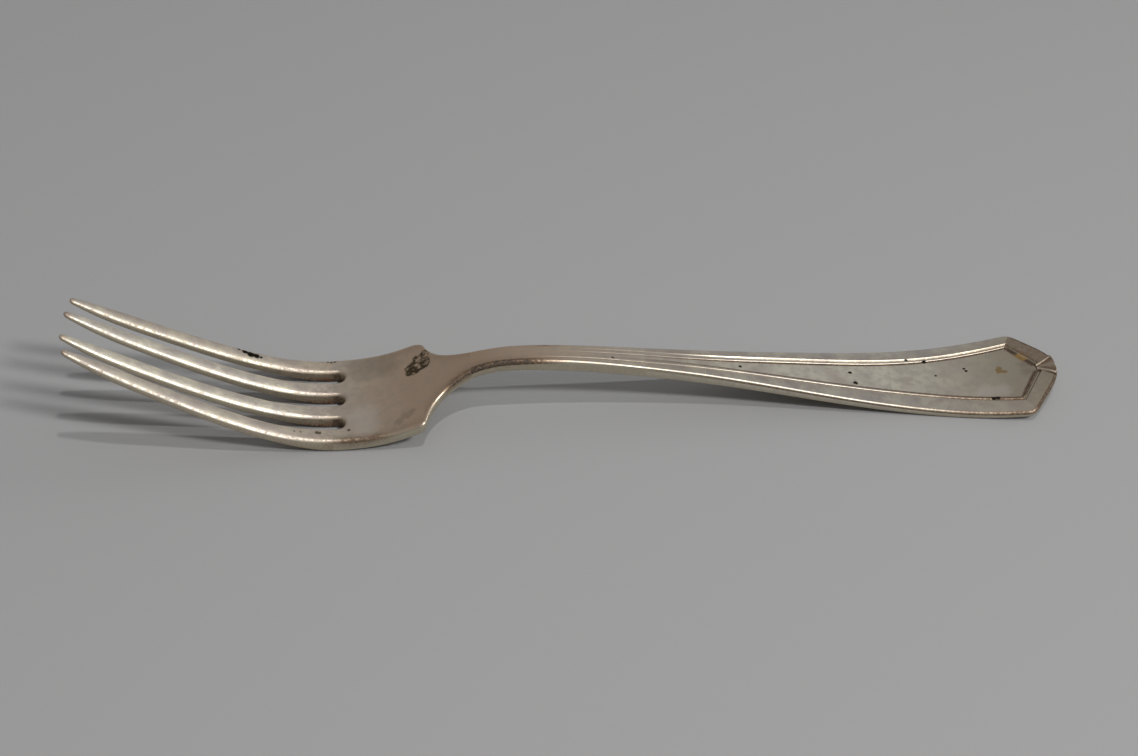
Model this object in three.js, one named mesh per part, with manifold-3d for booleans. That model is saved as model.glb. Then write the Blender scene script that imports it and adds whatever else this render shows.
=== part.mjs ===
// A four-tined dinner fork with a bordered handle, in millimetres, +Z up.
// It lies as on a table, on the heel of its bowl and on the flat of its handle.
// The tines point to -X, the end of the handle to +X, and +Y is the right-hand side.
import * as THREE from 'three';
import { mergeVertices } from 'three/addons/utils/BufferGeometryUtils.js';
import Module from 'manifold-3d';

// Lengths along the fork, one after another from the tine roots
const BOWL_LENGTH = 18.4; // tine roots to the shoulder points
const FLARE_LENGTH = 9.6; // shoulder points to the neck
const NECK_LENGTH = 35; // neck to the start of the border
const HANDLE_LENGTH = 78.8; // start of the border to the corners of the end
const END_LENGTH = 7.2; // corners of the end to its tip

// Tines and the slots between them
const TINE_WIDTH = 4.0; // at the root
const TINE_MIDDLE_WIDTH = 3.4; // where the quick taper starts
const TINE_TIP_WIDTH = 1.5;
const TINE_MIDDLE_THICKNESS = 2.15;
const TINE_TIP_THICKNESS = 1.0;
const TINE_TAPER_AT = 0.72; // share of the tine before the quick taper
const TINE_LEAD = 13; // how far the tine goes on nearly level past its root
const TINE_RUN = 19.3; // length of the nearly straight stretch before the tip
const TINE_STEPS = 16;
const SLOT_WIDTH = 3.1;
const SLOT_DEPTH = 2.35; // how far a slot goes into the bowl
const SLOT_STEPS = 12; // sides of a slot's round end

// Each tine's own form, which use has bent a little: reach from the root, height of the tip
// over the root, sideways lean of the tip, and the fall along the stretch before the tip
const OUTER_RIGHT_REACH = 50.0;
const OUTER_RIGHT_RISE = 21.2;
const OUTER_RIGHT_LEAN = -1.55;
const OUTER_RIGHT_FALL = 9.9;
const INNER_RIGHT_REACH = 50.5;
const INNER_RIGHT_RISE = 22.25;
const INNER_RIGHT_LEAN = -0.05;
const INNER_RIGHT_FALL = 10.7;
const INNER_LEFT_REACH = 50.75;
const INNER_LEFT_RISE = 22.2;
const INNER_LEFT_LEAN = 0.1;
const INNER_LEFT_FALL = 11.3;
const OUTER_LEFT_REACH = 49.7;
const OUTER_LEFT_RISE = 23.0;
const OUTER_LEFT_LEAN = 1.45;
const OUTER_LEFT_FALL = 11.2;

// Widths of the bowl, neck and handle
const SHOULDER_WIDTH = 26.1;
const BOWL_STEPS = 6;
const FLARE_STEPS = 8;
const FLARE_BEND = 1.5; // where the flare's curve bends, past the shoulder points
const FLARE_BEND_WIDTH = 10.8;
const NECK_WIDTH = 6.3; // where the flare ends
const CREST_WIDTH = 5.3; // the narrowest place
const NECK_STEPS = 14;
const STEM_WIDTH = 6.6; // where the border starts
const STEM_END_AT = 16; // where the slim stem ends, past the border's start
const STEM_END_WIDTH = 8.9;
const PANEL_WIDE_AT = 56; // a place on the panel's wide part, past the border's start
const PANEL_WIDE_WIDTH = 18.7;
const HANDLE_WIDTH = 24.9; // across the corners of the end
const TIP_WIDTH = 6.2;

// Heights of the underside over the table
const HEEL_REST_LENGTH = 4; // level stretch under the tine roots
const SHOULDER_RISE = 4.2;
const NECK_RISE = 9.05;
const CREST_RISE = 10.25;
const CREST_AT = 13; // the highest place, past the start of the neck
const STEM_RISE = 3.5;
const STEM_RISE_AT = 30; // halfway down the handle, past the border's start
const HANDLE_REST_AT = 64; // middle of the handle's level stretch, past the border's start
const HANDLE_REST_LENGTH = 4;
const CORNER_RISE = 1.2;
const TIP_RISE = 2.6;

// Thicknesses at the edges
const ROOT_THICKNESS = 2.9;
const SHOULDER_THICKNESS = 2.45;
const NECK_THICKNESS = 2.75;
const CREST_THICKNESS = 2.9;
const STEM_THICKNESS = 2.65;
const CORNER_THICKNESS = 1.75;
const HANDLE_CROWN = 0.6; // how much higher the middle of the end is than its corners
const UPPER_CORNER = 0.7; // rounding of the upper edges of the tines, bowl and neck
const LOWER_CORNER = 1.1; // rounding of their lower edges
const PLATE_CORNER = 0.5; // rounding of the lower edges of the handle

// Border round the handle's panel: a wide band, a groove and a thin bead
const BORDER_HEIGHT = 0.45;
const BORDER_CHAMFER = 0.25;
const BAND_START = 2.3; // outer edge to the bead's middle, where the border starts
const BAND_MIDDLE = 4.4;
const BAND_MIDDLE_AT = 56; // where the band is widest, past the border's start
const BAND_END = 4.0;
const MITRE_BACK = 1.7; // how far the panel's corners lie behind the end's corners
const GROOVE_WIDTH = 0.3;
const BEAD_WIDTH = 0.8;
const BEAD_HEIGHT = 0.6;
const SEAM = 0.04; // between the plate and what stands on it
const STEM_STEPS = 18;
const PANEL_STEPS = 5;
const SIDE_STEPS = 30;
const END_STEPS = 5;

// Keystone on the tip, between the two end borders
const KEYSTONE_LENGTH = 3.9;
const KEYSTONE_NARROW = 1.8;
const KEYSTONE_HEIGHT = 0.65;
const KEYSTONE_STEPS = 4;

// The tines from the right-hand side
const TINES = [
  {
    name: 'outer_tine_right',
    reach: OUTER_RIGHT_REACH,
    rise: OUTER_RIGHT_RISE,
    lean: OUTER_RIGHT_LEAN,
    fall: OUTER_RIGHT_FALL,
  },
  {
    name: 'inner_tine_right',
    reach: INNER_RIGHT_REACH,
    rise: INNER_RIGHT_RISE,
    lean: INNER_RIGHT_LEAN,
    fall: INNER_RIGHT_FALL,
  },
  {
    name: 'inner_tine_left',
    reach: INNER_LEFT_REACH,
    rise: INNER_LEFT_RISE,
    lean: INNER_LEFT_LEAN,
    fall: INNER_LEFT_FALL,
  },
  {
    name: 'outer_tine_left',
    reach: OUTER_LEFT_REACH,
    rise: OUTER_LEFT_RISE,
    lean: OUTER_LEFT_LEAN,
    fall: OUTER_LEFT_FALL,
  },
];

// Places along the fork, from the tine roots
const SHOULDER_X = BOWL_LENGTH;
const NECK_X = SHOULDER_X + FLARE_LENGTH;
const CREST_X = NECK_X + CREST_AT;
const HANDLE_X = NECK_X + NECK_LENGTH;
const CORNER_X = HANDLE_X + HANDLE_LENGTH;
const TIP_X = CORNER_X + END_LENGTH;
const HANDLE_REST_X = HANDLE_X + HANDLE_REST_AT;
const TINE_PITCH = TINE_WIDTH + SLOT_WIDTH;
const ROOT_WIDTH = TINES.length * TINE_WIDTH + (TINES.length - 1) * SLOT_WIDTH;
const MOST_ROUND = 0.45; // largest rounding of an edge, as a share of the bar
const CORNER_STEPS = 2;
const TOP_SHARES = [0.5, 0, -0.5]; // places across the top's flat part, from its middle out
const WELD = 1e-4; // points closer than this are one point

const wasm = await Module();
wasm.setup();

/** A smooth line through [x, value] knots that stays between each knot and the next. */
function lineThrough(knots) {
  const last = knots.length - 1;
  const slopes = [];
  for (let i = 0; i < last; i += 1) {
    slopes.push((knots[i + 1][1] - knots[i][1]) / (knots[i + 1][0] - knots[i][0]));
  }
  const tangents = knots.map((knot, i) => {
    const before = slopes[Math.max(i - 1, 0)];
    const after = slopes[Math.min(i, last - 1)];
    return before * after > 0 ? (2 * before * after) / (before + after) : 0;
  });
  return (x) => {
    let i = 0;
    while (i < last - 1 && x > knots[i + 1][0]) i += 1;
    const span = knots[i + 1][0] - knots[i][0];
    const u = THREE.MathUtils.clamp((x - knots[i][0]) / span, 0, 1);
    const rise = knots[i + 1][1] - knots[i][1];
    const eased = u * u * (3 - 2 * u);
    const bend = span * u * (1 - u) * (tangents[i] * (1 - u) - tangents[i + 1] * u);
    return knots[i][1] + rise * eased + bend;
  };
}

const underside = lineThrough([
  [0, 0],
  [HEEL_REST_LENGTH, 0],
  [SHOULDER_X, SHOULDER_RISE],
  [NECK_X, NECK_RISE],
  [CREST_X, CREST_RISE],
  [HANDLE_X + STEM_RISE_AT, STEM_RISE],
  [HANDLE_REST_X - HANDLE_REST_LENGTH / 2, 0],
  [HANDLE_REST_X + HANDLE_REST_LENGTH / 2, 0],
  [CORNER_X, CORNER_RISE],
  [TIP_X, TIP_RISE],
]);

const thickness = lineThrough([
  [0, ROOT_THICKNESS],
  [SHOULDER_X, SHOULDER_THICKNESS],
  [NECK_X, NECK_THICKNESS],
  [CREST_X, CREST_THICKNESS],
  [HANDLE_X, STEM_THICKNESS],
  [CORNER_X, CORNER_THICKNESS],
  [TIP_X, CORNER_THICKNESS],
]);

const neckHalf = lineThrough([
  [NECK_X, NECK_WIDTH / 2],
  [CREST_X, CREST_WIDTH / 2],
  [HANDLE_X, STEM_WIDTH / 2],
]);

const sideHalf = lineThrough([
  [HANDLE_X, STEM_WIDTH / 2],
  [HANDLE_X + STEM_END_AT, STEM_END_WIDTH / 2],
  [HANDLE_X + PANEL_WIDE_AT, PANEL_WIDE_WIDTH / 2],
  [CORNER_X, HANDLE_WIDTH / 2],
]);

const endHalf = lineThrough([
  [CORNER_X, HANDLE_WIDTH / 2],
  [TIP_X, TIP_WIDTH / 2],
]);

const bandWidth = lineThrough([
  [HANDLE_X, BAND_START],
  [HANDLE_X + BAND_MIDDLE_AT, BAND_MIDDLE],
  [CORNER_X - MITRE_BACK, BAND_END],
]);

const crownShare = lineThrough([
  [HANDLE_X, 0],
  [CORNER_X, 1],
]);

/** Half width of the handle at x: curved sides, then the straight slanted end. */
function handleHalf(x) {
  return x < CORNER_X ? sideHalf(x) : endHalf(x);
}

/** How far the handle's top rises over its edges at a place on it. */
function crown(x, y) {
  const across = y / (HANDLE_WIDTH / 2);
  return HANDLE_CROWN * crownShare(x) * (1 - across * across);
}

/** Height of the plate that carries the border. */
function plateTop(x, y) {
  return underside(x) + thickness(x) - BORDER_HEIGHT + crown(x, y);
}

/** Closed solid through rings of equally many points, each ring bulging outwards. */
function loft(rings) {
  const count = rings[0].length;
  const positions = rings.flat().flatMap((point) => [point.x, point.y, point.z]);
  const faces = [];
  for (let r = 0; r + 1 < rings.length; r += 1) {
    for (let i = 0; i < count; i += 1) {
      const a = r * count + i;
      const b = r * count + ((i + 1) % count);
      faces.push(a, b, b + count, a, b + count, a + count);
    }
  }
  const end = (rings.length - 1) * count;
  for (let i = 1; i + 1 < count; i += 1) {
    faces.push(0, i + 1, i, end, end + i, end + i + 1);
  }
  return facedOutwards(positions, faces);
}

/** Geometry of a closed set of triangles, turned so that its volume is positive. */
function facedOutwards(positions, faces) {
  const geometry = new THREE.BufferGeometry();
  geometry.setAttribute('position', new THREE.Float32BufferAttribute(positions, 3));
  const corner = (k) => new THREE.Vector3().fromArray(positions, 3 * faces[k]);
  let volume = 0;
  for (let k = 0; k < faces.length; k += 3) {
    volume += corner(k).dot(corner(k + 1).cross(corner(k + 2)));
  }
  geometry.setIndex(volume > 0 ? faces : faces.toReversed());
  return geometry;
}

/** Section of a bar from its underside up, as [across, up] pairs from the bottom middle. */
function barSection(half, top, lowerRound, upperRound) {
  const side = [];
  for (let i = 0; i <= CORNER_STEPS; i += 1) {
    const angle = (Math.PI / 2) * (i / CORNER_STEPS);
    side.push([half - lowerRound * (1 - Math.sin(angle)), lowerRound * (1 - Math.cos(angle))]);
  }
  const upperSteps = upperRound > 0 ? CORNER_STEPS : 0;
  for (let i = 0; i <= upperSteps; i += 1) {
    const angle = (Math.PI / 2) * (i / CORNER_STEPS);
    const across = half - upperRound * (1 - Math.cos(angle));
    side.push([across, top(across) - upperRound * (1 - Math.sin(angle))]);
  }
  const flat = half - upperRound;
  const middle = TOP_SHARES.map((share) => [flat * share, top(flat * share)]);
  const other = side.toReversed().map(([across, up]) => [-across, up]);
  return [[0, 0], ...side, ...middle, ...other];
}

/** Section of a tine, the bowl or the neck, with all its edges rounded. */
function roundedSection(half, thick) {
  const most = MOST_ROUND * Math.min(half, thick);
  const lower = Math.min(LOWER_CORNER, most);
  const upper = Math.min(UPPER_CORNER, most);
  return barSection(half, () => thick, lower, upper);
}

/** Ring of the fork's body at x, over its underside. */
function bodyRing(x, half) {
  const section = roundedSection(half, thickness(x));
  return section.map(([across, up]) => new THREE.Vector3(x, across, underside(x) + up));
}

/** Ring of the handle's plate at x. */
function plateRing(x) {
  const top = (y) => plateTop(x, y) - underside(x);
  const section = barSection(handleHalf(x), top, PLATE_CORNER, 0);
  return section.map(([across, up]) => new THREE.Vector3(x, across, underside(x) + up));
}

/** Equally spaced values from first to last. */
function spread(first, last, steps) {
  return Array.from({ length: steps + 1 }, (_, i) => THREE.MathUtils.lerp(first, last, i / steps));
}

/** Manifold solid of a closed geometry. */
function solid(geometry) {
  const bare = geometry.clone();
  bare.deleteAttribute('normal');
  bare.deleteAttribute('uv');
  const merged = mergeVertices(bare, WELD);
  return new wasm.Manifold(new wasm.Mesh({
    numProp: 3,
    vertProperties: new Float32Array(merged.attributes.position.array),
    triVerts: new Uint32Array(merged.index.array),
  }));
}

/** Named part with its own metal finish. */
function part(name, geometry, color, roughness) {
  const material = new THREE.MeshStandardMaterial({ color, roughness, metalness: 1 });
  const mesh = new THREE.Mesh(geometry, material);
  mesh.name = name;
  return mesh;
}

/** Tine that leaves its root level and curves up to its tip; the root is its origin. */
function tineGeometry({ reach, rise, lean, fall }) {
  const tip = new THREE.Vector3(-reach, lean, ROOT_THICKNESS + rise);
  const topLine = new THREE.CubicBezierCurve3(
    new THREE.Vector3(0, 0, ROOT_THICKNESS),
    new THREE.Vector3(-TINE_LEAD, 0, ROOT_THICKNESS),
    new THREE.Vector3(tip.x + TINE_RUN, lean * (1 - TINE_RUN / reach), tip.z - fall),
    tip,
  );
  const width = lineThrough([
    [0, TINE_WIDTH],
    [TINE_TAPER_AT, TINE_MIDDLE_WIDTH],
    [1, TINE_TIP_WIDTH],
  ]);
  const depth = lineThrough([
    [0, ROOT_THICKNESS],
    [TINE_TAPER_AT, TINE_MIDDLE_THICKNESS],
    [1, TINE_TIP_THICKNESS],
  ]);
  const across = new THREE.Vector3(0, 1, 0);
  return loft(spread(0, 1, TINE_STEPS).map((share) => {
    const along = topLine.getTangent(share);
    const up = new THREE.Vector3(-along.x, 0, -along.z).cross(across).normalize();
    const thick = depth(share);
    const half = width(share) / 2;
    return roundedSection(half, thick).map(([y, z]) =>
      topLine.getPoint(share).addScaledVector(across, y).addScaledVector(up, z - thick));
  }));
}

/** Bowl from the tine roots to the neck, with the round ends of the slots cut out. */
function bowlGeometry() {
  const straight = lineThrough([
    [0, ROOT_WIDTH / 2],
    [SHOULDER_X, SHOULDER_WIDTH / 2],
  ]);
  const sides = [0, ...spread(HEEL_REST_LENGTH, SHOULDER_X, BOWL_STEPS)];
  const flare = new THREE.QuadraticBezierCurve(
    new THREE.Vector2(SHOULDER_X, SHOULDER_WIDTH / 2),
    new THREE.Vector2(SHOULDER_X + FLARE_BEND, FLARE_BEND_WIDTH / 2),
    new THREE.Vector2(NECK_X, NECK_WIDTH / 2),
  );
  const rings = sides.map((x) => bodyRing(x, straight(x)));
  rings.push(...flare.getPoints(FLARE_STEPS).slice(1).map(({ x, y }) => bodyRing(x, y)));
  let bowl = solid(loft(rings));
  const round = SLOT_WIDTH / 2;
  const slot = new THREE.Shape();
  slot.moveTo(-SLOT_WIDTH, -round);
  slot.lineTo(SLOT_DEPTH - round, -round);
  slot.absarc(SLOT_DEPTH - round, 0, round, -Math.PI / 2, Math.PI / 2);
  slot.lineTo(-SLOT_WIDTH, round);
  for (let i = 0; i + 1 < TINES.length; i += 1) {
    const punch = new THREE.ExtrudeGeometry(slot, {
      depth: 3 * ROOT_THICKNESS,
      bevelEnabled: false,
      curveSegments: SLOT_STEPS,
    });
    punch.translate(0, tineRoot(i) - TINE_PITCH / 2, -ROOT_THICKNESS);
    bowl = bowl.subtract(solid(punch));
  }
  const cut = bowl.getMesh();
  return facedOutwards(Array.from(cut.vertProperties), Array.from(cut.triVerts));
}

/** Sideways place of a tine's root, counted from the right-hand side. */
function tineRoot(index) {
  return ((TINES.length - 1) / 2 - index) * TINE_PITCH;
}

/** Neck from the flare over the crest to the start of the border. */
function neckGeometry() {
  return loft(spread(NECK_X, HANDLE_X, NECK_STEPS).map((x) => bodyRing(x, neckHalf(x))));
}

/** Plate of the handle, which carries the border and the keystone. */
function plateGeometry() {
  const stem = spread(HANDLE_X, HANDLE_REST_X - HANDLE_REST_LENGTH / 2, STEM_STEPS);
  const panel = spread(HANDLE_REST_X + HANDLE_REST_LENGTH / 2, CORNER_X, PANEL_STEPS);
  const end = spread(CORNER_X, TIP_X, END_STEPS).slice(1);
  return loft([...stem, ...panel, ...end].map((x) => plateRing(x)));
}

/** Stretch of the border as pairs of points: outer edge and middle of the bead. */
function sideRail() {
  const back = (CORNER_X - MITRE_BACK - HANDLE_X) / HANDLE_LENGTH;
  return spread(HANDLE_X, CORNER_X, SIDE_STEPS).map((x) => {
    const inner = HANDLE_X + (x - HANDLE_X) * back;
    return {
      outer: new THREE.Vector2(x, handleHalf(x)),
      bead: new THREE.Vector2(inner, handleHalf(inner) - bandWidth(inner)),
    };
  });
}

/** The border's stretch along one slanted side of the end, up to the keystone. */
function endRail() {
  const mitre = sideRail().at(-1);
  const inner = new THREE.Vector2(TIP_X - KEYSTONE_LENGTH, KEYSTONE_NARROW / 2);
  return spread(CORNER_X, TIP_X, END_STEPS).map((x) => {
    const share = (x - CORNER_X) / END_LENGTH;
    return {
      outer: new THREE.Vector2(x, handleHalf(x)),
      bead: mitre.bead.clone().lerp(inner, share),
    };
  });
}

/** Solid that follows a rail on the plate; section gives [along the pair, up] pairs. */
function railGeometry(rail, side, section) {
  return loft(rail.map(({ outer, bead }) => {
    const width = outer.distanceTo(bead);
    return section(width).map(([away, up]) => {
      const place = bead.clone().lerp(outer, away / width);
      const height = plateTop(place.x, place.y) + SEAM + up;
      return new THREE.Vector3(place.x, side * place.y, height);
    });
  }));
}

/** Section of the wide band, measured from the bead's middle. */
function bandSection(width) {
  const inner = BEAD_WIDTH / 2 + GROOVE_WIDTH;
  const height = BORDER_HEIGHT - SEAM;
  return [
    [inner, 0],
    [width, 0],
    [width, height - BORDER_CHAMFER],
    [width - BORDER_CHAMFER, height],
    [inner, height],
  ];
}

/** Half-round section of the bead. */
function beadSection() {
  const half = BEAD_WIDTH / 2;
  const crest = BEAD_HEIGHT - half;
  return [
    [-half, 0],
    [half, 0],
    [half, crest],
    [half / 2, BEAD_HEIGHT - half / 4],
    [-half / 2, BEAD_HEIGHT - half / 4],
    [-half, crest],
  ];
}

/** Wedge on the tip that covers the joint of the two end borders. */
function keystoneGeometry() {
  return loft(spread(TIP_X - KEYSTONE_LENGTH, TIP_X, KEYSTONE_STEPS).map((x) => {
    const share = (x - TIP_X + KEYSTONE_LENGTH) / KEYSTONE_LENGTH;
    const width = THREE.MathUtils.lerp(KEYSTONE_NARROW, TIP_WIDTH, share);
    const half = width / 2 - BEAD_WIDTH / 2 - SEAM;
    const corner = (y, up) => new THREE.Vector3(x, y, plateTop(x, y) + SEAM + up);
    return [
      corner(-half, 0),
      corner(half, 0),
      corner(half, KEYSTONE_HEIGHT),
      corner(-half, KEYSTONE_HEIGHT),
    ];
  }));
}

const head = new THREE.Group();
TINES.forEach((tine, index) => {
  const mesh = part(tine.name, tineGeometry(tine), 0xb6b0a4, 0.32);
  mesh.position.set(0, tineRoot(index), 0);
  head.add(mesh);
});
head.add(part('bowl', bowlGeometry(), 0xa89c8c, 0.36));
head.add(part('neck', neckGeometry(), 0xaba092, 0.34));

const handle = new THREE.Group();
handle.add(part('handle_plate', plateGeometry(), 0xaca597, 0.38));
for (const [hand, side] of [['right', 1], ['left', -1]]) {
  for (const [stretch, rail] of [['side', sideRail()], ['end', endRail()]]) {
    const band = railGeometry(rail, side, bandSection);
    const bead = railGeometry(rail, side, beadSection);
    handle.add(part(`${stretch}_band_${hand}`, band, 0xb3ab9e, 0.34));
    handle.add(part(`${stretch}_bead_${hand}`, bead, 0xc4bcae, 0.3));
  }
}
handle.add(part('tip_keystone', keystoneGeometry(), 0xb0a797, 0.36));

const fork = new THREE.Group();
fork.add(head, handle);
fork.position.x = -new THREE.Box3().setFromObject(fork).getCenter(new THREE.Vector3()).x;

export default fork;
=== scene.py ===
"""Looks of a worn four-tined dinner fork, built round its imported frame.

Lengths are written in millimetres and turned into the frame's metres by MM. A place on the
fork is given by how far along it lies past the tine roots, how far across it lies to the
right of the middle, and how high it lies over the table.
"""

import logging
import math
from collections.abc import Iterator, Mapping, Sequence
from dataclasses import dataclass, field
from enum import Enum
from itertools import pairwise, product

import bmesh
import bpy
import numpy as np
from bmesh.types import BMEdge, BMesh, BMVert
from bpy.types import Material, NodeSocket, ShaderNodeTree
from mathutils import Matrix, Vector


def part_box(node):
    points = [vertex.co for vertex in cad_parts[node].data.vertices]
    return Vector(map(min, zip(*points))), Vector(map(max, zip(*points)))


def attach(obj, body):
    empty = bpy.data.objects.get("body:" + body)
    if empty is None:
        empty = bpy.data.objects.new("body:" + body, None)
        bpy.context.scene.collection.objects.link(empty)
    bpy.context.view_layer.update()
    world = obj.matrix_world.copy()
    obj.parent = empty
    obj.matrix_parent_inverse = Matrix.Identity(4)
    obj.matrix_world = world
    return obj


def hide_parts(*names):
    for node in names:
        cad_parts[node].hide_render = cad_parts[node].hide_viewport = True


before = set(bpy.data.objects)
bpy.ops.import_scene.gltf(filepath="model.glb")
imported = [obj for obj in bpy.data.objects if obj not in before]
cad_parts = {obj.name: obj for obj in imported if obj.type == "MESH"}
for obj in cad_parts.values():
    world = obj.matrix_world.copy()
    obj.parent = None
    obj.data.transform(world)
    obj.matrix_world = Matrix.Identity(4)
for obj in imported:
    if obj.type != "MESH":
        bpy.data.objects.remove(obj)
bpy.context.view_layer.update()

MM = 0.001
WELD = 0.002 * MM  # points closer than this are one point
CREASE = math.radians(38)  # edges bent more than this stay sharp
ROUND_STEPS = 6  # faces round a rounded edge
SHEET_HALF = 0.5  # half the width of the sheet that is rolled into a bar
ALONG = Vector((1, 0, 0))
ACROSS = Vector((0, 1, 0))
TARNISH_AND_SHADE = "tarnish_and_shade"  # how much tarnish and painted shade lie on a point, from 0 to 1
LEVEL = "level"  # how far a point faces up, from 0 to 1
MIX_COLOURS = (6, 7)  # inputs of a mix node that take colours
MIX_RESULT = 2  # its output that gives a colour

Pair = tuple[float, float]
Triple = tuple[float, float, float]
Colour = Triple  # red, green and blue, from 0 to 1
Knots = Sequence[Pair]
Shaded = Triple  # a point of a section: two lengths and its tarnish and painted shade
Ring = list[tuple[Vector, float]]  # points round a bar, each with its tarnish and painted shade
Rail = list[tuple[Vector, Vector]]  # pairs of outer edge and bead's middle
Value = NodeSocket | float  # a number, plain or worked out in a material
Tint = NodeSocket | Colour  # a colour, plain or worked out in a material

log = logging.getLogger("fork")


class Slot(Enum):
    """Material slots of the fork's record."""

    TINE = "tine_silver"
    BODY = "body_silver"
    BORDER = "border_silver"


Materials = Mapping[Slot, Material]


class MarkKind(Enum):
    """What a mark on the silver is."""

    PIT = "pit"
    SPECK = "speck"
    BLOT = "blot"
    STAIN = "stain"
    SMUDGE = "smudge"
    BLOOM = "bloom"


class Stretch(Enum):
    """Stretches of the handle's border."""

    SIDE = "side"
    END = "end"


class Moulding(Enum):
    """Mouldings of the handle's border."""

    BAND = "band"
    BEAD = "bead"


class SmoothLine:
    """A cubic line through knots, with no jump in its slope or bend."""

    def __init__(self, knots: Knots, start_slope: float, end_slope: float) -> None:
        """Works out the bend at each knot.

        Args:
            knots: Pairs of place and value, in millimetres.
            start_slope: Slope at the first knot.
            end_slope: Slope at the last knot.
        """
        self.places, self.values = (np.array(column) * MM for column in zip(*knots, strict=True))
        gaps = np.diff(self.places)
        slopes = np.concatenate(([start_slope], np.diff(self.values) / gaps, [end_slope]))
        spans = np.concatenate(([0.0], gaps, [0.0]))
        system = np.diag(2 * (spans[:-1] + spans[1:])) + np.diag(gaps, 1) + np.diag(gaps, -1)
        self.bends = np.linalg.solve(system, 6 * np.diff(slopes))

    def __call__(self, place: float) -> float:
        """Gives the line's value at a place, held at the ends.

        Args:
            place: Place along the line, in metres.

        Returns:
            The value there, in metres.
        """
        place = min(max(place, self.places[0]), self.places[-1])
        index = int(np.searchsorted(self.places, place, "right")) - 1
        index = min(index, len(self.places) - 2)
        gap = self.places[index + 1] - self.places[index]
        after = (place - self.places[index]) / gap
        before = 1 - after
        straight = before * self.values[index] + after * self.values[index + 1]
        bend = (before**3 - before) * self.bends[index]
        bend += (after**3 - after) * self.bends[index + 1]
        return float(straight + bend * gap * gap / 6)


def held(share: float) -> float:
    """Holds a number between 0 and 1."""
    return min(max(share, 0.0), 1.0)


def eased(share: float) -> float:
    """Holds a share between 0 and 1 and eases it in and out."""
    share = held(share)
    return share * share * (3 - 2 * share)


def risen(place: float, start: float, full: float) -> float:
    """Gives an eased share that is 0 up to a start and 1 from a full place on."""
    return eased((place - start) / (full - start))


def shares(steps: int) -> list[float]:
    """Lists equal shares from 0 to 1, both included, with a number of gaps between them."""
    return [step / steps for step in range(steps + 1)]


def quarter_turn(steps: int) -> list[Pair]:
    """Lists the sine and cosine at equal steps through a quarter turn."""
    turns = [math.pi / 2 * share for share in shares(steps)]
    return [(math.sin(turn), math.cos(turn)) for turn in turns]


def soft_lesser(first: float, second: float, blend: float) -> float:
    """Gives the lesser of two lengths, rounded off where they differ by less than a blend."""
    share = held(0.5 + 0.5 * (second - first) / blend)
    return second + (first - second) * share - blend * share * (1 - share)


def bezier(points: Sequence[Vector], share: float) -> tuple[Vector, Vector]:
    """Follows a Bezier curve.

    Args:
        points: Control points.
        share: How far along the curve, from 0 to 1.

    Returns:
        The point there and the curve's heading.
    """
    while len(points) > 2:
        points = [start.lerp(end, share) for start, end in pairwise(points)]
    start, end = points
    return start.lerp(end, share), (end - start).normalized()


def skin(rings: Sequence[Ring]) -> BMesh:
    """Rolls a sheet into a closed bar through rings.

    Args:
        rings: Rings of equally many points, each with its tarnish and painted shade.

    Returns:
        The closed mesh.
    """
    columns = len(rings[0])
    rows = len(rings) - 1
    mesh = bmesh.new()
    bmesh.ops.create_grid(mesh, x_segments=columns, y_segments=rows, size=SHEET_HALF)
    layer = mesh.verts.layers.float.new(TARNISH_AND_SHADE)
    for vert in mesh.verts:
        column = round((vert.co.x + SHEET_HALF) * columns) % columns
        row = round((vert.co.y + SHEET_HALF) * rows)
        vert.co, vert[layer] = rings[row][column]
    bmesh.ops.remove_doubles(mesh, verts=mesh.verts, dist=WELD)
    close_ends(mesh)
    return mesh


def close_ends(mesh: BMesh) -> None:
    """Closes the open ends of a mesh and turns its faces outwards.

    Args:
        mesh: The mesh.
    """
    rims = [edge for edge in mesh.edges if edge.is_boundary]
    bmesh.ops.holes_fill(mesh, edges=rims, sides=0)
    bmesh.ops.recalc_face_normals(mesh, faces=mesh.faces)


def slice_at(mesh: BMesh, axis: Vector, place: float, **clear: bool) -> None:
    """Cuts a mesh at a place along an axis.

    Args:
        mesh: Mesh to cut.
        axis: The axis.
        place: Place of the cut along it.
        clear: Which side to clear away, as for the cutting operator.
    """
    geometry = [*mesh.verts, *mesh.edges, *mesh.faces]
    bmesh.ops.bisect_plane(
        mesh, geom=geometry, dist=WELD, plane_co=axis * place, plane_no=axis, **clear
    )


def round_edges(mesh: BMesh, edges: list[BMEdge], radius: float) -> None:
    """Rounds edges off.

    Args:
        mesh: Mesh that holds the edges.
        edges: The edges.
        radius: Radius of the rounding.
    """
    bmesh.ops.bevel(
        mesh,
        geom=edges,
        offset=radius,
        offset_type="OFFSET",
        segments=ROUND_STEPS,
        profile=0.5,
        affect="EDGES",
        clamp_overlap=False,
        material=-1,
    )


def lower_half(half: float, thick: float, radius: float, steps: int) -> list[Pair]:
    """Draws the lower right part of a bar's section, from its wall to its bottom middle.

    Args:
        half: Half width of the bar.
        thick: Thickness of the bar.
        radius: Rounding of the lower edge.
        steps: Faces across half the bottom.

    Returns:
        Pairs of across and down, with the bar's top at height 0.
    """
    line = [
        (half - radius * (1 - cosine), radius * (1 - sine) - thick)
        for sine, cosine in quarter_turn(ROUND_STEPS)
    ]
    return line + [((half - radius) * (1 - part), -thick) for part in shares(steps)[1:]]


def upper_half(half: float, radius: float, steps: int) -> list[Pair]:
    """Draws the upper right part of a bar's section, from its top middle to its wall.

    Args:
        half: Half width of the bar.
        radius: Rounding of the upper edge.
        steps: Faces across half the top.

    Returns:
        Pairs of across and down, with the bar's top at height 0.
    """
    line = [((half - radius) * part, 0.0) for part in shares(steps)[:-1]]
    return line + [
        (half - radius * (1 - sine), radius * (cosine - 1))
        for sine, cosine in quarter_turn(ROUND_STEPS)
    ]


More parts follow.
